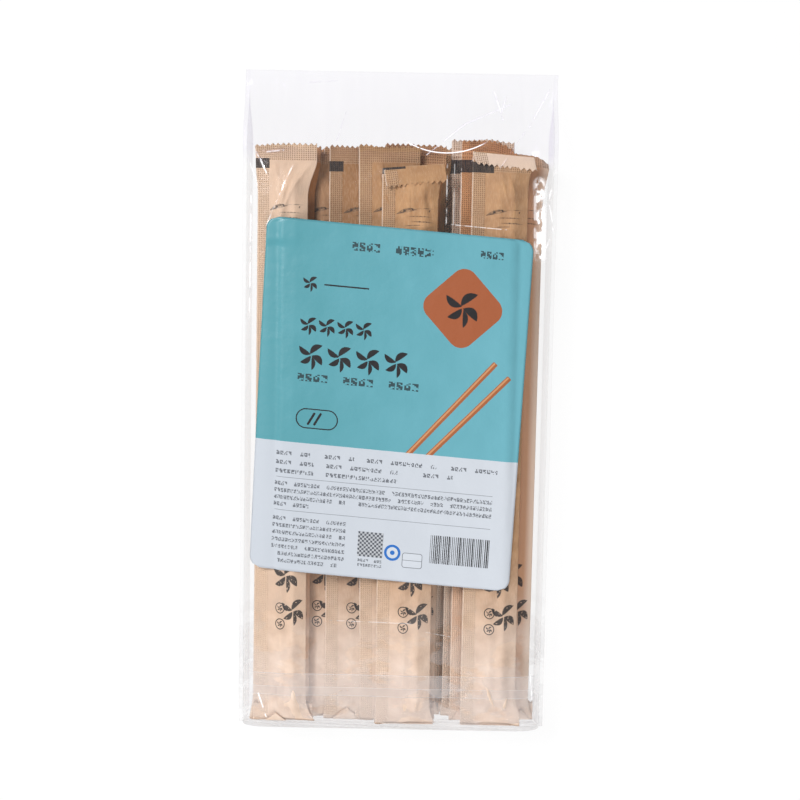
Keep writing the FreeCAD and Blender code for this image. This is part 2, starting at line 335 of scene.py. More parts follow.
def paper_sheet(name, u, v, seed, rough):
    """Front and back points of the sleeve: section height off a middle surface, bent at the crimp."""
    x0, y0, z0, roll, tail = places[name]
    full = fullness(v, tail)
    crimp = np.clip(v - tail - pocket_len, 0, crimp_len)
    wave = 0.5 * soft_noise(u, v, 9.0, seed) * (1 - full)
    wave += rough * soft_noise(u, v * 0.5, 5.0, seed + 1) + 0.5 * rough * soft_noise(u, v, 2.4, seed + 2)
    angle = (CURLS.get(name, 0.0) + 0.45 * soft_noise(u, 0 * v, 7.0, seed + 3)) * crimp / crimp_len
    wave += crimp * np.sin(angle / 2) * np.sinc(angle / math.tau)
    pull = crimp * (np.sinc(angle / math.pi) - 1)
    arch, lift = ARCHES.get(name, (0.0, 0.0))
    pull += np.clip(crimp / 4, 0, 1) * (lift - arch * ((u + 3) / 10) ** 2 * (u > -3))
    skin = rough * 1.6 * soft_noise(u, v * 0.6, 14.0, seed + 4) * full
    fade = np.clip(rough * 10, 0, 1) * np.clip(2 - np.abs(u) / 6, 0, 1)
    skin += pleats(name, u, v, tail, seed + 5) * fade
    foot = np.clip((tail + foot_len - v) / foot_len, 0, 1)
    pull += 0.9 * soft_noise(u, 0 * v, 5.0, seed + 6) * foot**3
    pull += FOLD_SLANTS.get(name, 0.0) * u / 10 * np.clip((v - tail - pocket_len + 14) / 14, 0, 1)
    skin += (1.1 if name == LEANING else 0.25) * soft_noise(u, v, 4.2, seed + 7) * np.sin(foot * math.pi)
    across, drop = across_line(name, u, v, full)
    height = section_height(u, full)
    shell = []
    for side in (1, -1):
        x, z = across, side * (height + skin * (side > 0)) + wave - drop
        turned_x = x * math.cos(roll) - z * math.sin(roll)
        turned_z = x * math.sin(roll) + z * math.cos(roll)
        shell.append(np.stack([x0 + turned_x, y0 + v + pull, z0 + turned_z], -1))
    return shell


print("seal strips off their plane:", ", ".join(name[-2:] for name in SEAL_TILTS))

# %% [markdown]
# Folded crimps
# The bottom crimp of most sleeves is turned under, and two sleeves have the top crimp turned to the
# front. A fold in paper is a tight half circle and then a flat flap that springs up a little. The
# flap is its own strip on the same kind of grid: a path in side view, carried across the sleeve.

# %% Build the flap of a folded crimp
fold_r = 0.25


def folded_flap(place, y_fold, side, length, seed, step, skew=0.0, slant=0.0):
    """Half circle of radius r at the fold, then a straight run back that rises at the taper's angle."""
    x0, y0, z0, _, tail = place
    inward = -1 if y_fold > pocket_len / 2 else 1
    u = np.arange(left_edge, pocket_half + 1e-6, step)
    turn = np.linspace(0, math.pi, 7)
    run = np.linspace(0.5, length, max(int(length / 0.5), 4))
    taper = top_taper if inward < 0 else bottom_taper
    slope = math.atan2(crown_r - ply, taper + tail) * 0.9
    cut = run[:, None] - tooth_line(u)[None, :] * (run[:, None] / length) ** 8
    away = np.repeat(-inward * fold_r * np.sin(turn)[:, None], len(u), 1)
    up = np.repeat(fold_r - fold_r * np.cos(turn)[:, None], len(u), 1)
    rise = 2 * fold_r + np.repeat(run[:, None], len(u), 1) * math.sin(slope)
    path_y = np.concatenate([away, inward * cut * math.cos(slope)])
    path_z = np.concatenate([up, rise])
    grid_u = np.repeat(u[None, :], len(path_y), 0)
    distance = np.concatenate([turn * fold_r, run + math.pi * fold_r])[:, None] + 0 * grid_u
    path_z = path_z + 0.25 * soft_noise(grid_u, distance, 6.0, seed) * distance / length
    x = x0 + grid_u + crimp_flare * np.clip(grid_u / pocket_half, 0, 1) + skew * distance / length
    y = y0 + y_fold + path_y + slant * grid_u / 10 * (1 + 0.4 * distance / length)
    z = z0 + side * path_z
    outer = np.stack([x, y, z + side * ply], -1)
    inner = np.stack([x, y, z - side * ply], -1)
    v = (tail + pocket_len + distance) if inward < 0 else (crimp_len - distance)
    if side > 0:
        return outer, inner, grid_u - left_edge, v
    return inner, outer, grid_u - left_edge, v


print("a flap turns round", 2 * fold_r, "mm of paper")

# %% [markdown]
# Dog ears
# When a crimp is turned under by hand, a corner of it sometimes peeps out at the front as a small
# triangle. A grid whose width shrinks to a point gives one, a little above the paper that it lies on.

# %% Build a dog ear at a sleeve's foot
def dog_ear(place, middle, half, height):
    """Triangle of folded paper: its width shrinks to a point while it rises along the taper."""
    x0, y0, z0, _, tail = place
    s, t = np.meshgrid(np.linspace(-1, 1, 13), np.linspace(0, 1, 11))
    u, v = middle + half * s * (1 - t), height * t * (1 - 0.06 * np.abs(s))
    z = z0 + section_height(u, fullness(v + 0.5, tail)) + 0.35 + 0.5 * np.sin(t * math.pi) * (1 - s**2)
    front = np.stack([x0 + u, y0 + v - 0.3, z + ply], -1)
    back = np.stack([x0 + u, y0 + v - 0.3, z - ply], -1)
    return front, back, u - left_edge + 3, v + 12


print("dog ears on", ", ".join(name[-2:] for name in DOG_EARS))

# %% [markdown]
# Make the sleeves
# Twenty sleeves come from one function, each with its own seed, so that no two have the same soft
# dents. Those on show get a finer grid than those that are buried.

# %% Build twenty sleeves
def make_sleeve(name, number):
    """Pocket with its seal and crimp, and the flaps of its folded crimps, as one piece."""
    place = places[name]
    tail, folded, fine = place[4], name in FOLDED, name in FINE_GRID
    step = 0.4 if fine else 0.6
    u = np.linspace(left_edge, pocket_half, int(sleeve_w / step) + 1)
    rows = sleeve_rows(tail, pocket_len + (0 if folded else crimp_len))
    if not fine:
        rows = np.concatenate([rows[::2], rows[-1:]])
    grid_u, grid_v = np.meshgrid(u, rows)
    if not folded:
        reach = np.clip((grid_v - tail - pocket_len) / crimp_len, 0, 1) ** 6
        grid_v = grid_v - tooth_line(grid_u) * reach
    front, back = paper_sheet(name, grid_u, grid_v, 40 + 10 * number, 0.10 if fine else 0.03)
    sheets = [(front, back, grid_u - left_edge, grid_v)]
    if name not in NO_UNDER_FLAP:
        sheets.append(folded_flap(place, 0, -1, crimp_len - tail, 380 + number, step))
    if folded:
        length = FLAP_LENGTHS.get(name, crimp_len)
        y_fold = tail + pocket_len
        sheets.append(folded_flap(place, y_fold, 1, length, 420 + number, step, 1.5, FOLD_SLANTS[name]))
    if name in DOG_EARS:
        sheets.append(dog_ear(place, *DOG_EARS[name]))
    return build_piece("sleeve_" + name[-2:], sheets, name)


sleeves = {name: make_sleeve(name, number) for number, name in enumerate(pair_names, 1)}
print(len(sleeves), "sleeves,", sum(len(piece.data.polygons) for piece in sleeves.values()), "faces")

# %% [markdown]
# Film over the sleeves
# Thin film under light tension touches only the highest places and spans the hollows between them.
# That is a soap film over an obstacle: every point takes the mean of its neighbours unless the paper
# below holds it up. Repeating that rule on a coarse grid gives the front of the bag, and no cloth
# simulation is needed.

# %% Sizes of the bag
bag_high = np.array(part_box("clear_bag")[1]) / MM
fin_w = 2.0
bag_half = bag_high[0] - fin_w
side_run = 16.0
SIDE_POWER = 2.6
flat_half = bag_half - side_run
seal_z = 6.0
seal_len = 5.0
seal_start = bag_high[1] - seal_len
front_z = bag_high[2] - 0.1
mid_z = front_z / 2
bag_end = bag_high[1]
foot_run = 6.5
print("flat front", round(2 * flat_half, 1), "mm wide between sides of", side_run, "mm")

# %% [markdown]
# What holds the film up
# The film needs one number at every place: how high the paper stands there. It is the largest of all
# sleeves' heights, with a little more where a flap or a strong fold lies on the paper.

# %% Height of the paper under the film
def paper_top(x, y):
    """Highest paper at each place: the front of every sleeve that covers it."""
    top = np.full(x.shape, 0.3)
    for name, (x0, y0, z0, roll, tail) in places.items():
        u, v = x - x0, y - y0
        reach = tail + pocket_len + (0 if name in FOLDED else crimp_len)
        inside = (u > left_edge) & (u < pocket_half + crimp_flare) & (v > 0) & (v < reach)
        narrow = FULL_WIDTHS.get(name, FULL_WIDTH)
        height = z0 + section_height((u + pocket_half) / narrow - pocket_half, fullness(v, tail))
        height += u * math.sin(roll)
        if name in SHOULDER_FOLDS:
            height = height + 0.8 * ((v > tail + pocket_len - 38) & (v < tail + pocket_len))
        if name in FOLDED:
            height = height + 0.9 * ((v > tail + pocket_len - crimp_len) & (v < reach))
        top = np.where(inside, np.maximum(top, height), top)
    return top


print("paper at the middle stands", paper_top(np.zeros(1), np.zeros(1)).round(1)[0], "mm high")

# %% [markdown]
# The membrane
# The rule needs a start, the height of the film's four edges, and enough rounds to settle. The side
# edges run level beside the paper and sink toward the seal, and the lower end drops a little.

# %% Stretch the film over the paper
def stretch_over(obstacle, edge, rounds):
    """Membrane over an obstacle: mean of the four neighbours, never below the obstacle."""
    film = np.maximum(obstacle, edge)
    for _ in range(rounds):
        mean = (film[1:-1, :-2] * 1.6 + film[1:-1, 2:] * 1.6 + film[:-2, 1:-1] + film[2:, 1:-1]) / 5.2
        film[1:-1, 1:-1] = np.maximum(mean, obstacle[1:-1, 1:-1])
    return film


coarse_x = np.linspace(-flat_half, flat_half, 58)
coarse_y = np.linspace(-bag_end, seal_start, 150)
field_x, field_y = np.meshgrid(coarse_x, coarse_y)
film_lift = 0.25
head_low = 118.0
side_z, foot_z, end_z = 24.5, 22.0, seal_z + 0.1
head = np.clip((field_y - head_low) / (seal_start - head_low), 0, 1)
side_line = side_z - (side_z - end_z) * ease(head)
end_line = 1 - 0.16 * (1 - np.clip((field_y + bag_end) / foot_run, 0, 1))
start = side_line * end_line
start[0, :] = np.maximum(start[0, :], foot_z)
start[-1, :] = np.maximum(start[-1, :], end_z)
drape = stretch_over(paper_top(field_x, field_y) + film_lift, start, 900)
print("film front from", round(drape.min(), 1), "to", round(drape.max(), 1), "mm")

# %% [markdown]
# Creases
# Cellophane-like film folds sharply. A crease is a ridge along a line, high at the line and fading
# with distance, and it dies out at its two ends. The empty head of the bag has the most of them.

# %% Add creases and read the front at any place
# A crease is (x and y of its start, x and y of its end, height, width)
CREASES = [
    (-58, 141, -69, 112, 1.0, 1.5), (-66, 139, -60, 122, 0.6, 1.2),
    (36, 147, 47, 131, 1.1, 1.3), (44, 149, 52, 136, 0.8, 1.0), (50, 149, 44, 134, 0.7, 1.0),
    (2, 121, 30, 139, 0.9, 2.0), (30, 139, 66, 150, 0.6, 1.6), (66, 148, 58, 128, 0.9, 1.5),
    (60, 134, 69, 104, 1.0, 1.6), (-20, 150, -34, 128, 0.35, 2.4), (-2, 146, -8, 128, 0.4, 2.0),
    (-44, 150, -40, 126, 0.35, 2.2), (14, 150, 20, 130, 0.3, 1.6), (64, 60, 69, 110, 0.5, 1.2),
    (-12, -92, 26, -101, 0.35, 1.6), (-30, -103, 12, -106, 0.3, 1.4), (38, -96, 62, -122, 0.4, 1.8),
    (-62, -118, -46, -150, 0.5, 1.8), (20, -118, 42, -150, 0.35, 1.6), (48, -100, 70, -106, 0.4, 1.4),
]


def crease_field(x, y):
    """Sum of ridges exp(-distance / width), each faded by a half sine along its line."""
    total = np.zeros(x.shape)
    for x1, y1, x2, y2, height, width in CREASES:
        length = math.hypot(x2 - x1, y2 - y1)
        along = ((x - x1) * (x2 - x1) + (y - y1) * (y2 - y1)) / length**2
        bow = 0.06 * length * np.sin(np.clip(along, 0, 1) * math.pi)
        off = np.abs((x - x1) * (y2 - y1) - (y - y1) * (x2 - x1)) / length - bow
        fade = np.sin(np.clip(along, 0, 1) * math.pi) ** 0.7
        total += height * np.exp(-np.abs(off) / width) * fade
    return total


def film_front(x, y):
    """Bilinear reading of the membrane, with creases and a slight long-grain unevenness."""
    column = np.clip((x - coarse_x[0]) / (coarse_x[1] - coarse_x[0]), 0, len(coarse_x) - 1.001)
    row = np.clip((y - coarse_y[0]) / (coarse_y[1] - coarse_y[0]), 0, len(coarse_y) - 1.001)
    i, j = row.astype(int), column.astype(int)
    s, t = column - j, row - i
    near = drape[i, j] * (1 - s) + drape[i, j + 1] * s
    far = drape[i + 1, j] * (1 - s) + drape[i + 1, j + 1] * s
    level = near * (1 - t) + far * t
    calm = np.clip((seal_start - y) / 6.0, 0, 1)
    uneven = 0.10 * soft_noise(x, y * 0.35, 7.0, 11) + 0.06 * soft_noise(x, y, 3.5, 12)
    return level + calm * (0.45 * crease_field(x, y) + uneven)


print(len(CREASES), "creases, front at the middle", film_front(np.zeros(1), np.zeros(1)).round(1)[0], "mm")

# %% [markdown]
# The bag
# The bag is a flat tube of film, so its section is a front, a back and two rounded sides that meet
# at the welded fins. The front is the membrane from above. Each side is a quarter of a superellipse
# from the membrane's edge down to the fin, fuller than a circle, and the back lies flat on the table.

# %% Build the film bag
film_half = 0.06
back_head = 123.0


def film_columns():
    """Places across the bag: even over the flat part, by angle round the sides, then the fins."""
    flat = np.linspace(-flat_half, flat_half, 118)
    side = flat_half + side_run * np.sin(np.linspace(0, math.pi / 2, 15)[1:])
    fin = [bag_half + fin_w / 2, bag_half + fin_w]
    return np.concatenate([np.negative(fin)[::-1], -side[::-1], flat, side, fin])


def bag_surface(y):
    """Front and back of the bag at every place across and along, as point grids."""
    x, y = np.meshgrid(film_columns(), y)
    front = film_front(np.clip(x, -flat_half, flat_half), y)
    head = ease((y - back_head) / (seal_start - back_head))
    end = 1 - np.clip((y + bag_end) / foot_run, 0, 1)
    back = (seal_z - 0.1) * head**1.2 + 1.4 * end**2 + 0.02
    middle = mid_z + (seal_z - mid_z) * head
    side = np.clip((np.abs(x) - flat_half) / side_run, 0, 1)
    drop = (1 - side**SIDE_POWER) ** (1 / SIDE_POWER)
    sealed = y > seal_start
    top = np.where(sealed, seal_z, middle + (front - middle) * drop) + film_half
    bottom = np.where(sealed, seal_z, middle + (back - middle) * drop) - film_half * (back > 0.1)
    ripple = 0.15 * soft_noise(x, y, 4.0, 21) * (np.abs(x) > bag_half - 0.5)
    drawn_in = x * (1 - 0.006 * head)
    front_points = np.stack([drawn_in, y, top + ripple], -1)
    back_points = np.stack([drawn_in, y, bottom + ripple], -1)
    return front_points, back_points, x, y


bag_rows = np.concatenate([np.linspace(-bag_end, -bag_end + 8, 12, endpoint=False),
                           np.linspace(-bag_end + 8, 90, 120, endpoint=False),
                           np.linspace(90, seal_start, 66, endpoint=False),
                           np.linspace(seal_start, bag_end, 5)])
bag = build_piece("film_bag", [bag_surface(bag_rows)], "clear_bag")
print("bag of", len(bag.data.polygons), "faces")

# %% [markdown]
# The label
# A label is stuck on by hand, so it sits a little askew, and it is wide enough to bend round the
# bag's side. Each of its points is found by going its own distance across the film: straight over
# the front and then along the curve of the side, so that the print isn't stretched.

# %% Build the label on the film
label_w, label_h = 125.0, 167.0
label_x, label_y = -3.1, 0.6
label_turn = math.radians(-4.35)
label_skew = math.tan(math.radians(-1.7))
label_corner = 5.5
label_top, label_under = 0.35, 0.18
side_slack = 1.5
FIELD_EDGE = -21.4
ZONE_EDGES = [-55.5, FIELD_EDGE, 27.0]


def side_walk(distance, rise):
    """Share of the side's run reached after a distance along its curve, from a table of arc length."""
    share = np.sin(np.linspace(0, math.pi / 2, 400))
    fall = rise * (1 - share**SIDE_POWER) ** (1 / SIDE_POWER)
    steps = np.hypot(np.diff(side_run * share), np.diff(fall))
    return np.interp(distance, np.concatenate([[0], np.cumsum(steps)]), share)


def rounded_outline(u, v):
    """Places across, pulled into a rounded rectangle: rows shorten near the corners by the arc's inset."""
    over = np.clip(np.abs(v) - (label_h / 2 - label_corner), 0, label_corner)
    inset = label_corner - np.sqrt(label_corner**2 - over**2)
    return u * (1 - inset / (label_w / 2))


def label_surface():
    """Label points on the film: turned, skewed, and laid along the film by distance."""
    near_edge = label_h / 2 - label_corner * np.sin(np.linspace(0, math.pi / 2, 7))
    v = np.unique(np.round(np.concatenate([-near_edge, np.linspace(-76, 76, 118), near_edge, ZONE_EDGES]), 4))
    u, v = np.meshgrid(np.linspace(-label_w / 2, label_w / 2, 120), v)
    u = rounded_outline(u, v)
    x = label_x + u * math.cos(label_turn) - v * (math.sin(label_turn) - label_skew)
    y = label_y + u * math.sin(label_turn) + v * math.cos(label_turn)
    beyond = np.clip(np.abs(x) - flat_half, 0, None)
    share = side_walk(beyond, front_z - mid_z - side_slack)
    placed = np.where(beyond > 0, np.sign(x) * (flat_half + side_run * share), x)
    z = film_front(np.clip(x, -flat_half, flat_half), y)
    z = np.where(beyond > 0, mid_z + (z - mid_z) * (1 - share**SIDE_POWER) ** (1 / SIDE_POWER), z)
    out_x = np.sign(x) * share**2
    out_z = np.sqrt(1 - out_x**2)
    front = np.stack([placed + label_top * out_x, y, z + label_top * out_z], -1)
    back = np.stack([placed + label_under * out_x, y, z + label_under * out_z], -1)
    return front, back, u, v


label = build_piece("printed_label", [label_surface()], "label")
print("label", label_w, "by", label_h, "mm, turned by", round(math.degrees(label_turn), 2), "degrees")

# %% [markdown]
# Node helpers
# The finishes are worked out from the piece's own chart in millimetres, so a mark that is 4 mm high
# on the real sleeve is 4 mm high here. A few helpers keep the node code short: calc adds one Math
# node, and a shared effect is a node group with named sockets.

# %% Helpers for shader nodes
def plug(tree, socket, value):
    """Set a socket to a number or colour, or link it to another socket."""
    if isinstance(value, bpy.types.NodeSocket):
        tree.links.new(value, socket)
    else:
        socket.default_value = value


def calc(tree, operation, *values, clamp=False):
    """One Math node."""
    node = tree.nodes.new("ShaderNodeMath")
    node.operation, node.use_clamp = operation, clamp
    for socket, value in zip(node.inputs, values):
        plug(tree, socket, value)
    return node.outputs[0]


def blend_colour(tree, factor, below, above):
    """One colour Mix node: above over below by factor."""
    node = tree.nodes.new("ShaderNodeMix")
    node.data_type = "RGBA"
    plug(tree, node.inputs["Factor"], factor)
    plug(tree, node.inputs["A"], below)
    plug(tree, node.inputs["B"], above)
    return node.outputs["Result"]


def noise(tree, vector, scale, detail=2.0, stretch=None):
    """Noise texture read at vector, which may be stretched first by a Mapping node."""
    if stretch:
        mapping = tree.nodes.new("ShaderNodeMapping")
        mapping.inputs["Scale"].default_value = stretch
        tree.links.new(vector, mapping.inputs["Vector"])
        vector = mapping.outputs[0]
    node = tree.nodes.new("ShaderNodeTexNoise")
    node.inputs["Scale"].default_value = scale
    node.inputs["Detail"].default_value = detail
    tree.links.new(vector, node.inputs["Vector"])
    return node.outputs["Fac"]


def new_group(name, inputs, outputs):
    """Empty node group with float or vector sockets: a name that ends in Vector is a vector."""
    tree = bpy.data.node_groups.new(name, "ShaderNodeTree")
    for title, value in inputs.items():
        kind = "NodeSocketVector" if title.endswith("Vector") else "NodeSocketFloat"
        socket = tree.interface.new_socket(title, in_out="INPUT", socket_type=kind)
        if kind == "NodeSocketFloat":
            socket.default_value = value
    for title in outputs:
        tree.interface.new_socket(title, in_out="OUTPUT", socket_type="NodeSocketFloat")
    return tree, tree.nodes.new("NodeGroupInput").outputs, tree.nodes.new("NodeGroupOutput").inputs


def use_group(tree, group, **values):
    """Place a node group and set its inputs: half_width sets the socket Half Width."""
    node = tree.nodes.new("ShaderNodeGroup")
    node.node_tree = group
    for title, value in values.items():
        plug(tree, node.inputs[title.replace("_", " ").title()], value)
    return node.outputs


def turned(tree, x, y, turn):
    """Distances along and across an axis through the origin that is turned by an angle."""
    cos, sin = calc(tree, "COSINE", turn), calc(tree, "SINE", turn)
    along = calc(tree, "ADD", calc(tree, "MULTIPLY", x, cos), calc(tree, "MULTIPLY", y, sin))
    across = calc(tree, "SUBTRACT", calc(tree, "MULTIPLY", y, cos), calc(tree, "MULTIPLY", x, sin))
    return along, across


def scaled(tree, value, low, run):
    """Share from 0 to 1 that a value has gone of its run from low: (value - low) / run, kept in 0 to 1."""
    return calc(tree, "DIVIDE", calc(tree, "SUBTRACT", value, low), run, clamp=True)


print("shader helpers ready")

# %% [markdown]
# Printed shapes
# Almost everything printed here is a rounded box, turned or not: bars, rules, the diamond, a pill, a
# ring and the pictured sticks. Its distance to a point is worked out and cut off at zero, so one
# group draws them all.

# %% Group for a rounded box
def make_box_mark():
    """Distance to a rounded box: length of what lies past its core, less the corner radius."""
    tree, given, result = new_group(
        "rounded box", {"X": 0, "Y": 0, "Centre X": 0, "Centre Y": 0, "Half Width": 1, "Half Height": 1,
                        "Corner": 0.1, "Turn": 0, "Edge": 0.12}, ["Mask"])
    dx = calc(tree, "SUBTRACT", given["X"], given["Centre X"])
    dy = calc(tree, "SUBTRACT", given["Y"], given["Centre Y"])
    along, across = turned(tree, dx, dy, given["Turn"])
    core_x = calc(tree, "SUBTRACT", given["Half Width"], given["Corner"])
    core_y = calc(tree, "SUBTRACT", given["Half Height"], given["Corner"])
    past_x = calc(tree, "SUBTRACT", calc(tree, "ABSOLUTE", along), core_x)
    past_y = calc(tree, "SUBTRACT", calc(tree, "ABSOLUTE", across), core_y)
    out_x, out_y = calc(tree, "MAXIMUM", past_x, 0.0), calc(tree, "MAXIMUM", past_y, 0.0)
    square = calc(tree, "ADD", calc(tree, "MULTIPLY", out_x, out_x), calc(tree, "MULTIPLY", out_y, out_y))
    inside = calc(tree, "MINIMUM", calc(tree, "MAXIMUM", past_x, past_y), 0.0)
    distance = calc(tree, "SUBTRACT", calc(tree, "ADD", calc(tree, "SQRT", square), inside), given["Corner"])
    mask = calc(tree, "SUBTRACT", 0.5, calc(tree, "DIVIDE", distance, given["Edge"]), clamp=True)
    tree.links.new(mask, result["Mask"])
    return tree


box_mark = make_box_mark()
print("rounded box group", len(box_mark.nodes), "nodes")

# %% [markdown]
# Leaves
# The other printed shape is a leaf: two bowed edges that meet in points. Five of them with their
# roots close together make a sprig, which stands in for every larger piece of brushwork on the pack.

# %% Groups for a leaf and a sprig
def make_leaf_mark():
    """A leaf: along its axis from 0 to 1, half as wide as a bowed curve 4s(1 - s)."""
    tree, given, result = new_group(
        "leaf", {"X": 0, "Y": 0, "Root X": 0, "Root Y": 0, "Length": 5, "Width": 1.2, "Turn": 0,
                 "Edge": 0.15}, ["Mask"])
    dx = calc(tree, "SUBTRACT", given["X"], given["Root X"])
    dy = calc(tree, "SUBTRACT", given["Y"], given["Root Y"])
    along, across = turned(tree, dx, dy, given["Turn"])
    s = calc(tree, "DIVIDE", along, given["Length"], clamp=True)
    bow = calc(tree, "MULTIPLY", calc(tree, "MULTIPLY", s, calc(tree, "SUBTRACT", 1.0, s)), 4.0)
    lean = calc(tree, "MULTIPLY", bow, calc(tree, "MULTIPLY", given["Width"], 0.35))
    half_width = calc(tree, "MULTIPLY", given["Width"], 0.5)
    half = calc(tree, "MULTIPLY", calc(tree, "POWER", bow, 0.8), half_width)
    room = calc(tree, "SUBTRACT", half, calc(tree, "ABSOLUTE", calc(tree, "SUBTRACT", across, lean)))
    tree.links.new(calc(tree, "DIVIDE", room, given["Edge"], clamp=True), result["Mask"])
    return tree


# A leaf is (root x, root y, length, width, turn in degrees) in a cell of size 1
SPRIG_LEAVES = [(-0.06, 0.06, 0.58, 0.24, 38), (-0.02, 0.05, 0.54, 0.22, 148), (0.0, 0.0, 0.52, 0.26, -38),
                (-0.02, 0.0, 0.48, 0.22, 215), (0.02, -0.02, 0.52, 0.17, -88)]


def make_sprig():
    """Five leaves with their roots close together, in a square cell of size 1 about its middle."""
    tree, given, result = new_group("sprig", {"X": 0, "Y": 0, "Size": 1, "Edge": 0.02}, ["Mask"])
    x = calc(tree, "DIVIDE", given["X"], given["Size"])
    y = calc(tree, "DIVIDE", given["Y"], given["Size"])
    total = None
    for root_x, root_y, length, width, turn in SPRIG_LEAVES:
        leaf = use_group(tree, leaf_mark, x=x, y=y, root_x=root_x, root_y=root_y, length=length,
                         width=width, turn=math.radians(turn), edge=given["Edge"])[0]
        total = leaf if total is None else calc(tree, "MAXIMUM", total, leaf)
    tree.links.new(total, result["Mask"])
    return tree


leaf_mark = make_leaf_mark()
sprig = make_sprig()
print("leaf group", len(leaf_mark.nodes), "nodes, sprig of", len(SPRIG_LEAVES), "leaves")

# %% [markdown]
# Small print
# Small print on a label is too small to read, and only its texture counts: rows, words and uneven
# strokes. Blocks inked at random inside each letter's cell give that texture and spell nothing.

# %% Group for rows of small print
def make_text_rows():
    """Rows of tiny broken blocks: a cell is inked where its random number is high enough."""
    tree, given, result = new_group(
        "small print", {"X": 0, "Y": 0, "Left": 0, "Right": 1, "Top": 0, "Rows": 1, "Pitch": 3,
                        "Height": 1.8, "Letter": 1.7}, ["Mask"])
    depth = calc(tree, "DIVIDE", calc(tree, "SUBTRACT", given["Top"], given["Y"]), given["Pitch"])
    share = calc(tree, "DIVIDE", given["Height"], given["Pitch"])
    in_row = calc(tree, "LESS_THAN", calc(tree, "FRACT", depth), share)
    in_rows = calc(tree, "MULTIPLY", calc(tree, "GREATER_THAN", depth, 0.0),
                   calc(tree, "LESS_THAN", depth, given["Rows"]))
    in_width = calc(tree, "MULTIPLY", calc(tree, "GREATER_THAN", given["X"], given["Left"]),
                    calc(tree, "LESS_THAN", given["X"], given["Right"]))
    place = calc(tree, "DIVIDE", calc(tree, "SUBTRACT", given["X"], given["Left"]), given["Letter"])
    gap = calc(tree, "LESS_THAN", calc(tree, "FRACT", place), 0.8)

    def dice(scale_x, scale_y):
        """Random number for a cell of the grid with scale_x cells a letter and scale_y cells a row."""
        point = tree.nodes.new("ShaderNodeCombineXYZ")
        cell_x = calc(tree, "FLOOR", calc(tree, "MULTIPLY", place, scale_x))
        cell_y = calc(tree, "FLOOR", calc(tree, "MULTIPLY", depth, scale_y))
        tree.links.new(cell_x, point.inputs[0])
        tree.links.new(cell_y, point.inputs[1])
        rolled = tree.nodes.new("ShaderNodeTexWhiteNoise")
        rolled.noise_dimensions = "2D"
        tree.links.new(point.outputs[0], rolled.inputs["Vector"])
        return rolled.outputs["Value"]

    strokes = calc(tree, "GREATER_THAN", dice(4.0, 8.0), 0.38)
    word = calc(tree, "GREATER_THAN", dice(0.5, 1.0), 0.12)
    ink = calc(tree, "MULTIPLY", calc(tree, "MULTIPLY", strokes, word), gap)
    ink = calc(tree, "MULTIPLY", ink, calc(tree, "MULTIPLY", in_row, in_rows))
    tree.links.new(calc(tree, "MULTIPLY", ink, in_width), result["Mask"])
    return tree


text_rows = make_text_rows()
print("print groups", [group.name for group in bpy.data.node_groups])

# %% [markdown]
# Kraft paper
# Unbleached paper is a felt of fibres: its colour drifts in clouds, short darker fibres lie in it,
# and its surface has a fine tooth. The heat seals are pressed with a dot grid, which is seen as
# small darker dents. Ink sits on top: a black register mark, two rings and brushed leaves.

# %% Paper fibre and seal dots as groups
def make_fibre():
    """Clouds of colour, stretched fibres and a fine tooth, from noise at three scales."""
    tree, given, result = new_group("paper fibre", {"Chart Vector": None}, ["Cloud", "Fibre", "Tooth"])
    cloud = noise(tree, given["Chart Vector"], 0.11, 4.0)
    fibre = noise(tree, given["Chart Vector"], 1.6, 3.0, (1.0, 0.22, 1.0))
    tooth = noise(tree, given["Chart Vector"], 4.5, 2.0)
    for title, value in (("Cloud", cloud), ("Fibre", fibre), ("Tooth", tooth)):
        tree.links.new(value, result[title])
    return tree


NO_END = 400.0


def make_seal_dots():
    """Dot grid of a heat seal, a product of two sine waves, on the left strip and both crimps."""
    tree, given, result = new_group(
        "seal dots", {"U": 0, "V": 0, "Pitch": 0.95, "Crimp Start": 0, "Crimp End": NO_END},
        ["Dots", "Sealed"])
    left = calc(tree, "LESS_THAN", given["U"], seal_w - 0.4)
    high = calc(tree, "MULTIPLY", calc(tree, "GREATER_THAN", given["V"], given["Crimp Start"]),
                calc(tree, "LESS_THAN", given["V"], given["Crimp End"]))
    low = calc(tree, "LESS_THAN", given["V"], 0.0)
    sealed = calc(tree, "MAXIMUM", left, calc(tree, "MAXIMUM", high, low))
    dots = sealed
    for along in (given["U"], given["V"]):
        turn = calc(tree, "DIVIDE", calc(tree, "MULTIPLY", along, math.tau), given["Pitch"])
        wave = calc(tree, "ADD", calc(tree, "MULTIPLY", calc(tree, "SINE", turn), 0.5), 0.5)
        dots = calc(tree, "MULTIPLY", dots, wave)
    tree.links.new(dots, result["Dots"])
    tree.links.new(sealed, result["Sealed"])
    return tree


fibre_group = make_fibre()
seal_group = make_seal_dots()
print("paper groups", fibre_group.name, "and", seal_group.name)

# %% [markdown]
# Starting a material
# Every material here begins in the same way: one Principled shader and the chart of the piece, split
# into the place across and the place along. A bump from a height mask is the other step they share.

# %% Material shell, bump and the middles of faces
def material_shell(name):
    """New material with its tree, its Principled shader and the chart split into U and V."""
    material = bpy.data.materials.new(name)
    material.use_nodes = True
    tree = material.node_tree
    shader = tree.nodes["Principled BSDF"]
    chart = tree.nodes.new("ShaderNodeUVMap")
    chart.uv_map = "chart"
    split = tree.nodes.new("ShaderNodeSeparateXYZ")
    tree.links.new(chart.outputs[0], split.inputs[0])
    return material, tree, shader, chart.outputs[0], split.outputs[0], split.outputs[1]


def middle_v(piece):
    """Place along the chart of the middle of every face: the mean of its four corners."""
    corners = np.empty(8 * len(piece.data.polygons))
    piece.data.uv_layers["chart"].data.foreach_get("uv", corners)
    return corners.reshape(-1, 4, 2)[:, :, 1].mean(1)


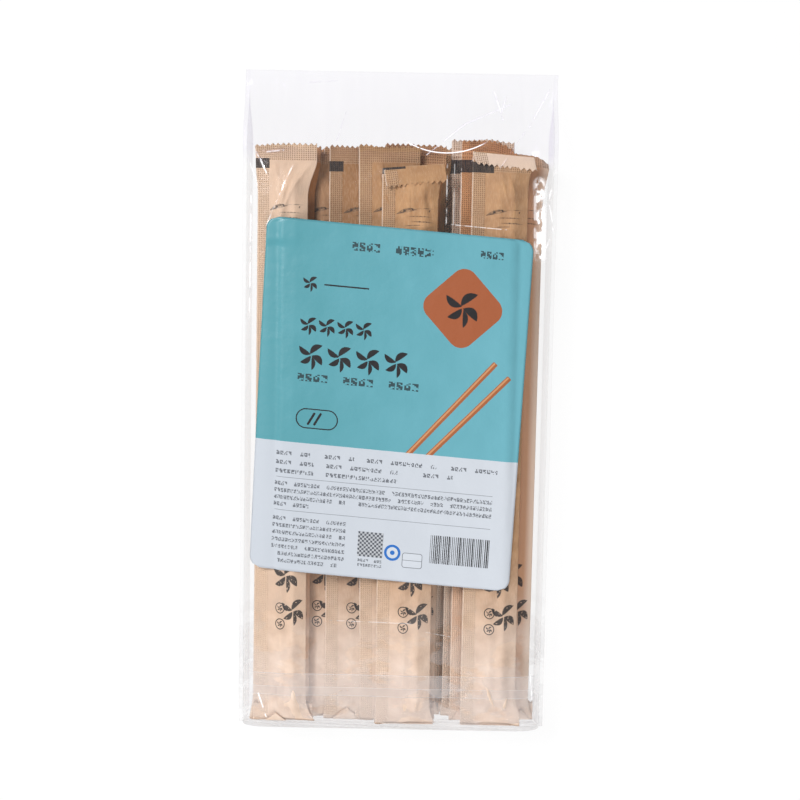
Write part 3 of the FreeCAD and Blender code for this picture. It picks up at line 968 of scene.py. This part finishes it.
def bump(tree, shader, height, distance, strength=1.0):
    """Bump node from a height mask into the shader's normal."""
    node = tree.nodes.new("ShaderNodeBump")
    node.inputs["Distance"].default_value = distance
    node.inputs["Strength"].default_value = strength
    tree.links.new(height, node.inputs["Height"])
    tree.links.new(node.outputs[0], shader.inputs["Normal"])


print("the bag has", len(middle_v(bag)), "faces, the label", len(middle_v(label)))

# %% [markdown]
# Colours of the paper
# The paper is built up in the order in which the eye reads it: brown clouds and pale fibres first,
# then each sleeve's painted light and shade, painted light over the pale foot, the pressed dots, a
# painted highlight along the cut edge and a painted shadow along the foot's edge.

# %% Paper colour of one sleeve
KRAFT = (0.58, 0.325, 0.155, 1)
KRAFT_PALE = (0.78, 0.57, 0.40, 1)
KRAFT_DARK = (0.25, 0.108, 0.038, 1)
# Pale kraft for the painted light over the foot and along the cut edge, and for the pale parts
KRAFT_FOOT = (0.92, 0.745, 0.62, 1)
ORANGE = (0.60, 0.225, 0.06, 1)
# Tints are (pale, orange) from 0 to 1: pale is painted light, and orange paints light shining through
# the paper and the warm shade of deep sleeves. A shade multiplies the clouds: painted shade on deep
# sleeves, painted light on strips that lie in shade, and partly each sleeve's own tone.
PAINTED_LIGHT_TINTS = by_pair({"01": (0.50, 0.0), "04": (0.0, 0.45), "05": (0.0, 0.5), "06": (0.08, 0.1),
                 "14": (0.0, 0.35), "16": (0.85, 0.0), "17": (0.8, 0.0), "18": (0.0, 0.95),
                 "19": (0.04, 0.0), "20": (0.25, 0.9)})
USUAL_TONE_AND_PAINTED_SHADE = 1.45
TONE_AND_PAINTED_SHADE = by_pair({"04": 0.3, "06": 0.6, "09": 0.45, "10": 0.4, "11": 1.0, "14": 0.5, "16": 1.9, "17": 1.8,
                  "18": 1.4, "19": 1.3})
# A pale part of one sleeve is (measure, where it starts, run): on 19 the paler inside of its folded
# flap, on 20 a painted highlight along its right edge
PALE_FLAP_AND_PAINTED_GLARE = by_pair({"19": ("along", pocket_len + 6.4, 0.01), "20": ("across", 23.0, 3.0)})


def paper_colour(tree, pair, u, v, fibre, dots):
    """Clouds and fibres, then painted light and shade, painted light at the foot, dots, painted edge
    highlight and painted foot shadow, each over the last.
    """
    pale, orange = PAINTED_LIGHT_TINTS.get(pair, (0.0, 0.0))
    # Painted shade on deep sleeves and painted light on strips in shade, partly each sleeve's own tone
    cloud = calc(tree, "MULTIPLY", fibre["Cloud"], TONE_AND_PAINTED_SHADE.get(pair, USUAL_TONE_AND_PAINTED_SHADE), clamp=True)
    colour = blend_colour(tree, cloud, KRAFT_DARK, KRAFT)
    lift = calc(tree, "MULTIPLY", calc(tree, "SUBTRACT", fibre["Fibre"], 0.45), 1.8, clamp=True)
    colour = blend_colour(tree, calc(tree, "MULTIPLY", lift, 0.4), colour, KRAFT_PALE)
    # Orange paints light shining through the paper and the warm shade of deep sleeves
    colour = blend_colour(tree, orange, colour, ORANGE)
    # Painted light: paler toward the foot, where the light is brighter, and paler on sleeves with a pale tint
    foot = scaled(tree, v, 88.0, -60.0)
    painted_light_share = calc(tree, "MULTIPLY", foot, calc(tree, "ADD", fibre["Cloud"], 0.45))
    painted_light_share = calc(tree, "MAXIMUM", calc(tree, "MULTIPLY", painted_light_share, 0.85), pale, clamp=True)
    colour = blend_colour(tree, painted_light_share, colour, KRAFT_FOOT)
    # On 20 this is a painted highlight; on 19 it is the paler inside of the flap
    if pair in PALE_FLAP_AND_PAINTED_GLARE:
        measure, low, run = PALE_FLAP_AND_PAINTED_GLARE[pair]
        part = scaled(tree, u if measure == "across" else v, low, run)
        colour = blend_colour(tree, calc(tree, "MULTIPLY", part, 0.7), colour, KRAFT_FOOT)
    colour = blend_colour(tree, calc(tree, "MULTIPLY", dots["Sealed"], 0.25), colour, KRAFT_PALE)
    pressed = calc(tree, "MULTIPLY", dots["Dots"], scaled(tree, v, 14.0, 300.0))
    colour = blend_colour(tree, pressed, colour, KRAFT_DARK)
    # Painted highlight: a pale line along the cut edge, which catches the light
    painted_edge_highlight = calc(tree, "LESS_THAN", u, 0.45)
    colour = blend_colour(tree, calc(tree, "MULTIPLY", painted_edge_highlight, 0.65), colour, KRAFT_FOOT)
    # Painted shadow: a dark line along the foot's edge, a contact shadow where the sleeves meet the table
    painted_foot_shadow = calc(tree, "SUBTRACT", 1.0, calc(tree, "ABSOLUTE", v), clamp=True)
    return blend_colour(tree, calc(tree, "MULTIPLY", painted_foot_shadow, 0.6), colour, KRAFT_DARK)


# The tints paint light and shade on single sleeves
print(len(PAINTED_LIGHT_TINTS), "sleeves have a tint of their own")

# %% [markdown]
# Ink on the paper
# Every sleeve has the same print: a register mark at the top left, a few brushed lines of hills, and
# near the foot two rings and two large sprigs. Noise thins the ink, as on rough paper. The back has
# no print, and the chart tells it apart by its shift.

# %% Ink of one sleeve
INK = (0.022, 0.02, 0.022, 1)
# Brushed hills near the top of a sleeve: (height of the root, place across, length, width, turn)
HILL_LINES = [(244.4, 6.5, 11.0, 2.2, 12), (245.8, 9.0, 8.0, 1.4, 4), (247.0, 15.5, 10.5, 0.6, 0),
              (243.4, 11.5, 14.0, 0.8, -1), (241.0, 13.0, 13.0, 0.9, -2), (245.0, 23.2, 1.8, 1.0, 75),
              (238.8, 8.5, 13.0, 0.7, 3)]
ring_u, ring_heights, ring_r, ring_line = 13.2, (55.6, 47.8), 2.7, 0.45
# Sprigs are (across, along, size): two small ones in the rings and two large ones
PAPER_SPRIGS = [(ring_u, height, 3.4) for height in ring_heights] + [(20.5, 54.0, 13.0), (16.5, 71.0, 15.0)]
USUAL_MARK = 7.0
MARK_WIDTHS = by_pair({"11": 0.0, "14": 11.0, "15": 10.6, "19": 10.6})


def paper_ink(tree, pair, u, v, fibre, rough):
    """Largest of the masks of mark, rings, sprigs and hills, with dry places where noise is low."""
    mark_w = MARK_WIDTHS.get(pair, USUAL_MARK)
    mark = use_group(tree, box_mark, x=u, y=v, centre_x=mark_w / 2 - 0.4, centre_y=pocket_len - 0.7,
                     half_width=mark_w / 2, half_height=2.3, corner=0.1)[0]
    solid = calc(tree, "ADD", calc(tree, "MULTIPLY", fibre["Fibre"], 0.4), 0.72, clamp=True)
    ink = calc(tree, "MULTIPLY", mark, solid)
    for height in ring_heights:
        for size, sign in ((ring_r, 1.0), (ring_r - ring_line, -1.0)):
            ring = use_group(tree, box_mark, x=u, y=v, centre_x=ring_u, centre_y=height, half_width=size,
                             half_height=size, corner=size)[0]
            ink = calc(tree, "ADD", ink, calc(tree, "MULTIPLY", ring, sign))
    for centre_x, centre_y, size in PAPER_SPRIGS:
        leaves = use_group(tree, sprig, x=calc(tree, "SUBTRACT", u, centre_x),
                           y=calc(tree, "SUBTRACT", v, centre_y), size=size)[0]
        brushed = calc(tree, "MULTIPLY", leaves, calc(tree, "GREATER_THAN", rough, 0.37))
        ink = calc(tree, "MAXIMUM", ink, calc(tree, "MULTIPLY", brushed, 0.93))
    dry = calc(tree, "MULTIPLY", calc(tree, "SUBTRACT", rough, 0.3), 3.0, clamp=True)
    for root_y, root_x, length, width, turn in HILL_LINES:
        stroke = use_group(tree, leaf_mark, x=u, y=v, root_x=root_x, root_y=root_y, length=length,
                           width=width, turn=math.radians(turn), edge=0.35)[0]
        ink = calc(tree, "MAXIMUM", ink, calc(tree, "MULTIPLY", stroke, dry))
    front = calc(tree, "LESS_THAN", u, BACK_SHIFT / 2)
    return calc(tree, "MULTIPLY", ink, front, clamp=True)


print(len(HILL_LINES), "brushed lines,", len(PAPER_SPRIGS), "sprigs on a sleeve")

# %% [markdown]
# Paper with its print
# Colour and ink meet in the material. The dots are dents as well as darker spots, so the same mask
# that darkens them lowers the bump, next to the paper's own tooth.

# %% Kraft paper with its printing
def kraft_paper(pair):
    """Paper for one sleeve: its colour with painted light and shade under the print, rough, with dents where
    it is sealed.
    """
    material, tree, shader, chart, u, v = material_shell("kraft_" + pair[-2:])
    fibre = use_group(tree, fibre_group, chart_vector=chart)
    folded = pair in FOLDED
    dots = use_group(tree, seal_group, u=calc(tree, "MODULO", u, BACK_SHIFT), v=v,
                     crimp_start=pocket_len - 2.4 if folded else pocket_len + 0.6,
                     crimp_end=pocket_len + 0.8 if folded else NO_END)
    colour = paper_colour(tree, pair, u, v, fibre, dots)
    ink = paper_ink(tree, pair, u, v, fibre, noise(tree, chart, 0.9, 3.0))
    tree.links.new(blend_colour(tree, ink, colour, INK), shader.inputs["Base Color"])
    shader.inputs["Roughness"].default_value = 0.72
    shader.inputs["Specular IOR Level"].default_value = 0.35
    grain = calc(tree, "ADD", calc(tree, "MULTIPLY", fibre["Tooth"], 0.35),
                 calc(tree, "MULTIPLY", fibre["Fibre"], 0.5))
    bump(tree, shader, calc(tree, "SUBTRACT", grain, dots["Dots"]), 0.00025)
    return material


for pair, piece in sleeves.items():
    piece.data.materials.append(kraft_paper(pair))
print("paper on", len(sleeves), "sleeves")

# %% [markdown]
# Label print
# The label is coated paper in two flat inks, a blue-green field over a pale one, with simple shapes
# on them: a rounded diamond, two pictured sticks, rules, bars and blocks of small print that is too
# small to read. Every shape is placed in millimetres from the label's middle.

# %% Shapes on the label
# TEAL and TEAL_LIGHT, and PALE_SHADE and PALE, are each one field ink in painted shade and in painted light
TEAL = (0.10, 0.345, 0.40, 1)
TEAL_LIGHT = (0.165, 0.46, 0.545, 1)
PALE_SHADE = (0.58, 0.62, 0.68, 1)
PALE = (0.66, 0.70, 0.76, 1)
CLAY = (0.40, 0.115, 0.045, 1)
STICK_BROWN = (0.40, 0.13, 0.05, 1)
STICK_LIGHT = (0.72, 0.36, 0.17, 1)
GREY = (0.10, 0.11, 0.13, 1)
BLOCK_GREY = (0.42, 0.42, 0.42, 1)
RING_BLUE = (0.03, 0.17, 0.55, 1)

# A box is (x, y, half width, half height, corner, turn in degrees, ink, strength)
BOXES = [
    (31.3, 49.0, 15.0, 15.0, 6.5, 45, CLAY, 1), (-23.5, 54.0, 10.5, 0.35, 0.1, 0, INK, 1),
    (29.2, 1.15, 30.5, 1.25, 0.5, 50.5, STICK_BROWN, 1), (28.9, 1.4, 30.2, 0.42, 0.2, 50.5, STICK_LIGHT, 0.8),
    (37.4, -1.9, 27.3, 1.25, 0.5, 48.5, STICK_BROWN, 1),
    (37.1, -1.6, 27.0, 0.42, 0.2, 48.5, STICK_LIGHT, 0.8),
    (-33.8, -9.5, 10.0, 4.8, 4.8, 0, INK, 1), (-33.8, -9.5, 9.45, 4.25, 4.25, 0, TEAL, 1),
    (-36.5, -9.5, 3.4, 0.55, 0.5, 62, INK, 1), (-33.5, -9.5, 3.4, 0.55, 0.5, 62, INK, 1),
    (0.0, -38.5, 51.5, 0.12, 0.1, 0, GREY, 0.7), (0.0, -54.3, 51.5, 0.12, 0.1, 0, GREY, 0.7),
    (-4.9, -67.0, 6.0, 6.0, 0.1, 0, BLOCK_GREY, 0.45), (5.8, -69.9, 3.9, 3.9, 3.9, 0, RING_BLUE, 1),
    (5.8, -69.9, 2.7, 2.7, 2.7, 0, PALE, 1), (5.8, -69.9, 1.1, 1.1, 1.1, 0, RING_BLUE, 1),
    (15.4, -72.9, 4.8, 3.6, 1.2, 0, GREY, 1), (15.4, -72.9, 4.55, 3.35, 1.0, 0, PALE, 1),
    (15.4, -72.9, 4.6, 0.1, 0.1, 0, GREY, 1),
]
# Small print is (left, right, top, rows, pitch, height, letter, ink)
PRINT = [
    (-22, 16, 75.2, 1, 4.6, 4.0, 3.4, INK), (38, 52, 76.6, 1, 4.6, 3.4, 2.8, INK),
    (-44, -25.5, 11.6, 1, 4.6, 3.6, 3.7, INK), (-22.5, -4, 11.6, 1, 4.6, 3.6, 3.7, INK),
    (-1, 17.5, 11.6, 1, 4.6, 3.6, 3.7, INK),
    (-52, -36, -26, 1, 4.4, 1.9, 1.9, GREY), (-29, -15, -26, 1, 4.4, 1.9, 1.9, GREY),
    (-9, 24, -26, 1, 4.4, 1.9, 1.9, GREY), (31, 53, -26, 1, 4.4, 1.9, 1.9, GREY),
    (-52, -34, -30.4, 2, 4.2, 1.9, 1.9, GREY), (-28, 6, -30.4, 2, 4.2, 1.9, 1.9, GREY),
    (18, 32, -30.4, 1, 4.4, 1.9, 1.9, GREY), (-52, 51.5, -40.6, 3, 3.3, 1.9, 1.55, GREY),
    (-52, -35, -50.5, 1, 3.3, 1.9, 1.55, GREY), (-52, -17, -57.4, 7, 3.4, 1.8, 1.6, GREY),
    (-10.5, 1, -74.2, 2, 2.3, 1.4, 1.3, GREY),
]
# Sprigs are (x, y, size)
SPRIGS = [(31.3, 49.0, 17.0), (-40.5, 54.0, 7.4)]
SPRIGS += [(-40.2 + 8.7 * cell, 34.4, 8.6) for cell in range(4)]
SPRIGS += [(-38.1 + 13.4 * cell, 20.2, 12.6) for cell in range(4)]
print(len(BOXES), "boxes,", len(PRINT), "blocks of small print,", len(SPRIGS), "sprigs")

# %% [markdown]
# Blocks with a pattern
# A shop label has a square code and a bar code. Here the first is a plain check, and the second has
# bars of one pitch whose widths come from white noise, so neither says anything.

# %% Two blocks with a pattern
# A block is (x, y, half width, half height)
CHECK_BLOCK = (-4.9, -67.0, 6.0, 6.0)
BAR_BLOCK = (37.8, -66.4, 14.2, 6.8)
bars_per_mm = 1.15


def in_block(tree, u, v, block):
    """Mask of one block."""
    x, y, half_w, half_h = block
    return use_group(tree, box_mark, x=u, y=v, centre_x=x, centre_y=y, half_width=half_w,
                     half_height=half_h)[0]


def patterned_blocks(tree, chart, u, v, colour):
    """Colour with both blocks on it: a bar fills its cell up to a share of 0.22 + 0.55 noise."""
    checks = tree.nodes.new("ShaderNodeTexChecker")
    checks.inputs["Scale"].default_value = 1.0
    tree.links.new(chart, checks.inputs["Vector"])
    square = calc(tree, "MULTIPLY", checks.outputs["Fac"], in_block(tree, u, v, CHECK_BLOCK))
    colour = blend_colour(tree, square, colour, GREY)
    stripe = tree.nodes.new("ShaderNodeTexWhiteNoise")
    stripe.noise_dimensions = "1D"
    place = calc(tree, "MULTIPLY", u, bars_per_mm)
    tree.links.new(calc(tree, "FLOOR", place), stripe.inputs["W"])
    width = calc(tree, "ADD", calc(tree, "MULTIPLY", stripe.outputs["Value"], 0.55), 0.22)
    bars = calc(tree, "LESS_THAN", calc(tree, "FRACT", place), width)
    return blend_colour(tree, calc(tree, "MULTIPLY", bars, in_block(tree, u, v, BAR_BLOCK)), colour, INK)


print("bars", round(1 / bars_per_mm, 2), "mm apart")

# %% [markdown]
# Printing the label
# A printer lays one ink after another on the sheet, and so does this material: the field, then boxes,
# small print and sprigs, and the two blocks last. One material with every shape would be slow and
# very long, so the label is cut across into zones, and a zone's material has only its own shapes.

# %% Printed label, one material for each zone
def label_field(tree, chart, u, upper):
    """Field ink with painted light and shade, lighter to the right: the share of the lighter one is u/110 +
    0.15 + 0.6 noise.
    """
    soft = noise(tree, chart, 0.05, 2.0)
    across = calc(tree, "ADD", calc(tree, "DIVIDE", u, 110.0), 0.15)
    lit = calc(tree, "ADD", across, calc(tree, "MULTIPLY", soft, 0.6), clamp=True)
    return blend_colour(tree, lit, TEAL if upper else PALE_SHADE, TEAL_LIGHT if upper else PALE)


def label_shapes(tree, u, v, colour, low, high):
    """Colour with every shape on it that reaches into the zone between low and high."""
    upper = low > FIELD_EDGE - 1
    for x, y, half_w, half_h, corner, turn, ink, strength in BOXES:
        reach = half_h + (max(half_w, half_h) if turn % 90 else 0.0)
        if y - reach < high and y + reach > low and (upper or turn == 0):
            mask = use_group(tree, box_mark, x=u, y=v, centre_x=x, centre_y=y, half_width=half_w,
                             half_height=half_h, corner=corner, turn=math.radians(turn))[0]
            colour = blend_colour(tree, calc(tree, "MULTIPLY", mask, strength), colour, ink)
    for left, right, top, count, pitch, height, letter, ink in PRINT:
        if low < top < high:
            mask = use_group(tree, text_rows, x=u, y=v, left=left, right=right, top=top, rows=count,
                             pitch=pitch, height=height, letter=letter)[0]
            colour = blend_colour(tree, calc(tree, "MULTIPLY", mask, 0.85), colour, ink)
    for x, y, size in SPRIGS:
        if low < y < high:
            mask = use_group(tree, sprig, x=calc(tree, "SUBTRACT", u, x), y=calc(tree, "SUBTRACT", v, y),
                             size=size)[0]
            colour = blend_colour(tree, mask, colour, INK)
    return colour


def print_label(name, low, high):
    """Coated paper with the print of the zone between low and high."""
    material, tree, shader, chart, u, v = material_shell(name)
    colour = label_field(tree, chart, u, low > FIELD_EDGE - 1)
    colour = label_shapes(tree, u, v, colour, low, high)
    if low < CHECK_BLOCK[1] < high:
        colour = patterned_blocks(tree, chart, u, v, colour)
    tree.links.new(colour, shader.inputs["Base Color"])
    grain = noise(tree, chart, 3.0, 2.0)
    tree.links.new(calc(tree, "ADD", calc(tree, "MULTIPLY", grain, 0.1), 0.34), shader.inputs["Roughness"])
    shader.inputs["Coat Weight"].default_value = 0.12
    shader.inputs["Coat Roughness"].default_value = 0.25
    bump(tree, shader, noise(tree, chart, 0.35, 3.0), 0.0004, 0.35)
    return material


def fill_zones(piece, title, make, edges, end):
    """One material for each zone between -end, the edges and end, given to the faces in that zone."""
    ends = [-end] + edges + [end]
    for zone, (low, high) in enumerate(zip(ends[:-1], ends[1:]), 1):
        piece.data.materials.append(make(f"{title}_{zone}", low, high))
    zones = np.searchsorted(edges, middle_v(piece)).astype(np.int32)
    piece.data.polygons.foreach_set("material_index", zones)
    print(title, "faces in each zone", np.bincount(zones))


fill_zones(label, "label_zone", print_label, ZONE_EDGES, label_h / 2)

# %% [markdown]
# Glints
# The bright lines on a film are its bends, which mirror a lamp. Left to the renderer they would be
# noisy and would move with every change of the drape, so each is drawn as a thin rounded box, broken
# up by noise. One fold runs as an unbroken arc over the crimps: the strip between two circles.

# %% Bright lines on the film
# A glint is (x and y of its start, x and y of its end, half width, weight)
GLINTS = [
    (-69, 122, -62, 108, 0.30, 0.9), (-71, 115, -66, 102, 0.20, 0.7), (44, 149, 48, 135, 0.25, 0.8),
    (50, 148, 47, 138, 0.20, 0.7), (12, 118, 30, 133, 0.16, 0.9), (30, 133, 52, 143, 0.16, 0.7),
    (71, 151, 60, 132, 0.20, 0.8), (58, 130, 46, 112, 0.16, 0.5), (73, 112, 69, 96, 0.40, 0.9),
    (70, 96, 73, 84, 0.35, 0.8), (72, 84, 67, 70, 0.30, 0.8), (-26, 138, -30, 124, 0.18, 0.35),
    (-44, 152, -30, 153, 0.18, 0.35), (24, 86, 50, 84, 0.14, 0.8), (-50, 112, -58, 94, 0.28, 0.75),
    (-58, 94, -62, 84, 0.22, 0.6), (-31, -103, 10, -104, 0.16, 0.5), (16, -108, 28, -110, 0.14, 0.5),
    (-64, -140, -60, -152, 0.25, 0.8), (67, -128, 69, -150, 0.25, 0.6), (65.0, 108, 66.5, 70, 2.4, 0.95),
    (62.8, 100, 63.4, 76, 0.3, 0.7), (21.8, 114, 21.8, 86, 0.18, 0.8), (25.2, 114, 25.2, 86, 0.12, 0.6),
    (28.4, 112, 28.4, 86, 0.12, 0.5), (-69.5, 98, -70, 40, 0.25, 0.7), (-63, 118, -54, 119, 0.3, 0.7),
]
FILM_EDGES = [-85.0, 62.0]
arc_x, arc_y, arc_radii, arc_top = 21.0, 155.2, (36.3, 35.8), 125.0
zone_margin = 3


def film_glint(tree, chart, u, v, low, high):
    """Bright lines that reach into the zone, broken by noise, and in the head one unbroken arc."""
    glint = None
    for x1, y1, x2, y2, half, weight in GLINTS:
        if max(y1, y2) > low - zone_margin and min(y1, y2) < high + zone_margin:
            line = use_group(tree, box_mark, x=u, y=v, centre_x=(x1 + x2) / 2, centre_y=(y1 + y2) / 2,
                             half_width=math.hypot(x2 - x1, y2 - y1) / 2, half_height=half, corner=half,
                             turn=math.atan2(y2 - y1, x2 - x1), edge=0.4 + half)[0]
            line = calc(tree, "MULTIPLY", line, weight)
            glint = line if glint is None else calc(tree, "MAXIMUM", glint, line)
    broken = scaled(tree, noise(tree, chart, 0.3, 3.0, (1.0, 0.6, 1.0)), 0.40, 1 / 9)
    glint = calc(tree, "MULTIPLY", glint, broken)
    if high > FILM_EDGES[-1]:
        rings = [use_group(tree, box_mark, x=u, y=v, centre_x=arc_x, centre_y=arc_y, half_width=radius,
                           half_height=radius, corner=radius, edge=0.4)[0] for radius in arc_radii]
        arc = calc(tree, "MULTIPLY", calc(tree, "SUBTRACT", *rings), scaled(tree, v, arc_top, -2.0))
        glint = calc(tree, "MAXIMUM", glint, arc)
    return glint


print(len(GLINTS), "glints and one arc")

# %% [markdown]
# Milky film
# The foot of the bag is milkier than the rest: the flap lies double over it, its glue strip is denser
# still, and three edges show as lines. Thin pale patches spread upward from there.

# %% Haze at the foot
# Doubled film is (height over the foot, half width, half height, corner, edge, haze)
FLAP_PARTS = [(11.0, 69.0, 17.0, 0.3, 0.4, 0.13), (19.2, 68.8, 2.0, 0.2, 0.4, 0.07)]
FLAP_PARTS += [(height, 68.8, 0.16, 0.1, 0.3, 0.22) for height in (27.8, 21.3, 17.2)]


def add_share(tree, total, mask, share):
    """Total plus a share of a mask."""
    return calc(tree, "ADD", total, calc(tree, "MULTIPLY", mask, share))


def foot_haze(tree, chart, u, v):
    """Patches of noise that grow from y = -88 downward, and a box for every part of doubled film."""
    foot = scaled(tree, v, -88.0, -40.0)
    patch = scaled(tree, noise(tree, chart, 0.045, 3.0, (1.0, 1.7, 1.0)), 0.45, 1 / 22)
    haze = calc(tree, "MULTIPLY", calc(tree, "MULTIPLY", foot, patch), 0.15)
    for height, half_w, half_h, corner, edge, share in FLAP_PARTS:
        part = use_group(tree, box_mark, x=u, y=v, centre_x=0.0, centre_y=height - bag_end, half_width=half_w,
                         half_height=half_h, corner=corner, edge=edge)[0]
        haze = add_share(tree, haze, part, share)
    return haze


print(len(FLAP_PARTS), "parts of doubled film at the foot")

# %% [markdown]
# Clear film
# Film is nearly all see-through, so its material is shown by alpha. What the eye reads as film is a
# faint milky haze, mirror-like glints on its bends, and a denser look where it is doubled or, by a
# Fresnel term, seen edge on. The film is cut into three zones too, each with its own glints.

# %% Film material
FILM_TINT = (0.96, 0.94, 0.96, 1)
HEAD_TINT = (0.52, 0.44, 0.72, 1)


def clear_film(name, low, high):
    """Alpha is 0.004 + 0.035 streaks + 0.22 Fresnel, and more at the fins, foot, head and glints."""
    material, tree, shader, chart, u, v = material_shell(name)
    fresnel = tree.nodes.new("ShaderNodeFresnel")
    fresnel.inputs["IOR"].default_value = 1.3
    streak = noise(tree, chart, 0.25, 3.0, (1.0, 0.12, 1.0))
    alpha = calc(tree, "ADD", calc(tree, "MULTIPLY", streak, 0.035), 0.004)
    alpha = add_share(tree, alpha, fresnel.outputs[0], 0.22)
    fin = calc(tree, "GREATER_THAN", calc(tree, "ABSOLUTE", u), bag_half - 0.3)
    alpha = add_share(tree, alpha, fin, 0.03)
    if low < FILM_EDGES[0]:
        alpha = calc(tree, "ADD", alpha, foot_haze(tree, chart, u, v))
    glint = film_glint(tree, chart, u, v, low, high)
    clear = calc(tree, "SUBTRACT", 1.0, glint, clamp=True)
    shader.inputs["Base Color"].default_value = FILM_TINT
    if high > FILM_EDGES[-1]:
        head = scaled(tree, v, 112.0, 8.0)
        alpha = add_share(tree, alpha, head, 0.012)
        tint = blend_colour(tree, calc(tree, "MULTIPLY", head, clear), FILM_TINT, HEAD_TINT)
        tree.links.new(tint, shader.inputs["Base Color"])
    alpha = add_share(tree, alpha, glint, 0.75)
    tree.links.new(calc(tree, "MINIMUM", alpha, 0.85), shader.inputs["Alpha"])
    # Painted highlights: the glints glow white by emission
    shader.inputs["Emission Color"].default_value = (1, 1, 1, 1)
    tree.links.new(calc(tree, "MULTIPLY", glint, 1.1), shader.inputs["Emission Strength"])
    tree.links.new(calc(tree, "MULTIPLY", clear, 0.22), shader.inputs["Metallic"])
    shader.inputs["Roughness"].default_value = 0.14
    bump(tree, shader, noise(tree, chart, 0.16, 3.0), 0.002, 0.35)
    return material


fill_zones(bag, "clear_film", clear_film, FILM_EDGES, bag_end)

# %% [markdown]
# Floor
# The pack lies on a white table that is as bright as the background. A table lit that brightly would
# light the pack from below, so a Light Path mix shows it white to the camera and to mirrored and
# passed rays only. To all other light it is an ordinary pale surface.

# %% Floor
floor_half = 3.0
floor_glow = 0.88


def make_floor():
    """Large plane under the pack: part emission, part plain surface that takes a soft shadow."""
    mesh = bpy.data.meshes.new("floor")
    corners = [(x * floor_half, y * floor_half, 0) for x, y in ((-1, -1), (1, -1), (1, 1), (-1, 1))]
    mesh.from_pydata(corners, [], [(0, 1, 2, 3)])
    floor = bpy.data.objects.new("floor", mesh)
    bpy.context.collection.objects.link(floor)
    material = bpy.data.materials.new("white_table")
    material.use_nodes = True
    tree = material.node_tree
    shader = tree.nodes["Principled BSDF"]
    shader.inputs["Base Color"].default_value = (0.86, 0.86, 0.87, 1)
    shader.inputs["Roughness"].default_value = 0.7
    path = tree.nodes.new("ShaderNodeLightPath")
    seen = calc(tree, "MAXIMUM", path.outputs["Is Camera Ray"], path.outputs["Is Glossy Ray"])
    seen = calc(tree, "MAXIMUM", seen, path.outputs["Is Transmission Ray"])
    glow = tree.nodes.new("ShaderNodeEmission")
    glow.inputs["Strength"].default_value = 1.03
    mix = tree.nodes.new("ShaderNodeMixShader")
    tree.links.new(calc(tree, "MULTIPLY", seen, floor_glow), mix.inputs[0])
    tree.links.new(shader.outputs[0], mix.inputs[1])
    tree.links.new(glow.outputs[0], mix.inputs[2])
    tree.links.new(mix.outputs[0], tree.nodes["Material Output"].inputs["Surface"])
    mesh.materials.append(material)


make_floor()
print("floor", 2 * floor_half, "m square")

# %% [markdown]
# Light
# A product studio lights such a pack with one large soft lamp from the upper left and lifts the
# shadows from the other end. The second lamp stands at the foot and isn't mirrored by the film, so it
# adds no glints. A weak white world fills what is left.

# %% Lamps and world
def add_lamp(name, place, aim, size, watts, glints=True):
    """Square area lamp at place, turned to look at aim, in metres; glints says if film mirrors it."""
    data = bpy.data.lights.new(name, "AREA")
    data.size, data.energy = size, watts
    lamp = bpy.data.objects.new(name, data)
    lamp.location = place
    lamp.rotation_euler = (Vector(aim) - Vector(place)).to_track_quat("-Z", "Y").to_euler()
    lamp.visible_glossy = glints
    bpy.context.collection.objects.link(lamp)
    print(name, "lamp", watts, "W,", round((Vector(aim) - Vector(place)).length, 2), "m away")


add_lamp("key", (-0.65, 0.5, 1.0), (0, 0, 0), 0.55, 12.5)
add_lamp("foot", (0.15, -0.8, 0.75), (0, -0.15, 0), 0.5, 5.5, glints=False)
world = bpy.data.worlds.new("studio")
bpy.context.scene.world = world
world.use_nodes = True
background = world.node_tree.nodes["Background"]
background.inputs[0].default_value = (1, 1, 1, 1)
background.inputs[1].default_value = 0.24

# %% [markdown]
# Camera
# The camera looks down on the pack from a little toward its top, tilted by 6 degrees and rolled by
# one. Its lens follows from the width of the view at the pack: sensor width times distance over view
# width.

# %% Camera
camera_distance = 0.72
camera_tilt = math.radians(6.0)
camera_roll = math.radians(1.05)
view_width = 0.3845
sensor_width = 36
aim = Vector((0.0018, 0.0020, 0.012))
data = bpy.data.cameras.new("camera")
data.sensor_width = sensor_width
data.lens = sensor_width * camera_distance / view_width
camera = bpy.data.objects.new("camera", data)
turn = Matrix.Rotation(-camera_tilt, 4, "X") @ Matrix.Rotation(camera_roll, 4, "Z")
camera.matrix_world = Matrix.Translation(aim) @ turn @ Matrix.Translation((0, 0, camera_distance))
bpy.context.collection.objects.link(camera)
bpy.context.scene.camera = camera
bpy.context.scene.view_settings.view_transform = "Standard"
print("lens", round(data.lens, 1), "mm at", camera_distance, "m")
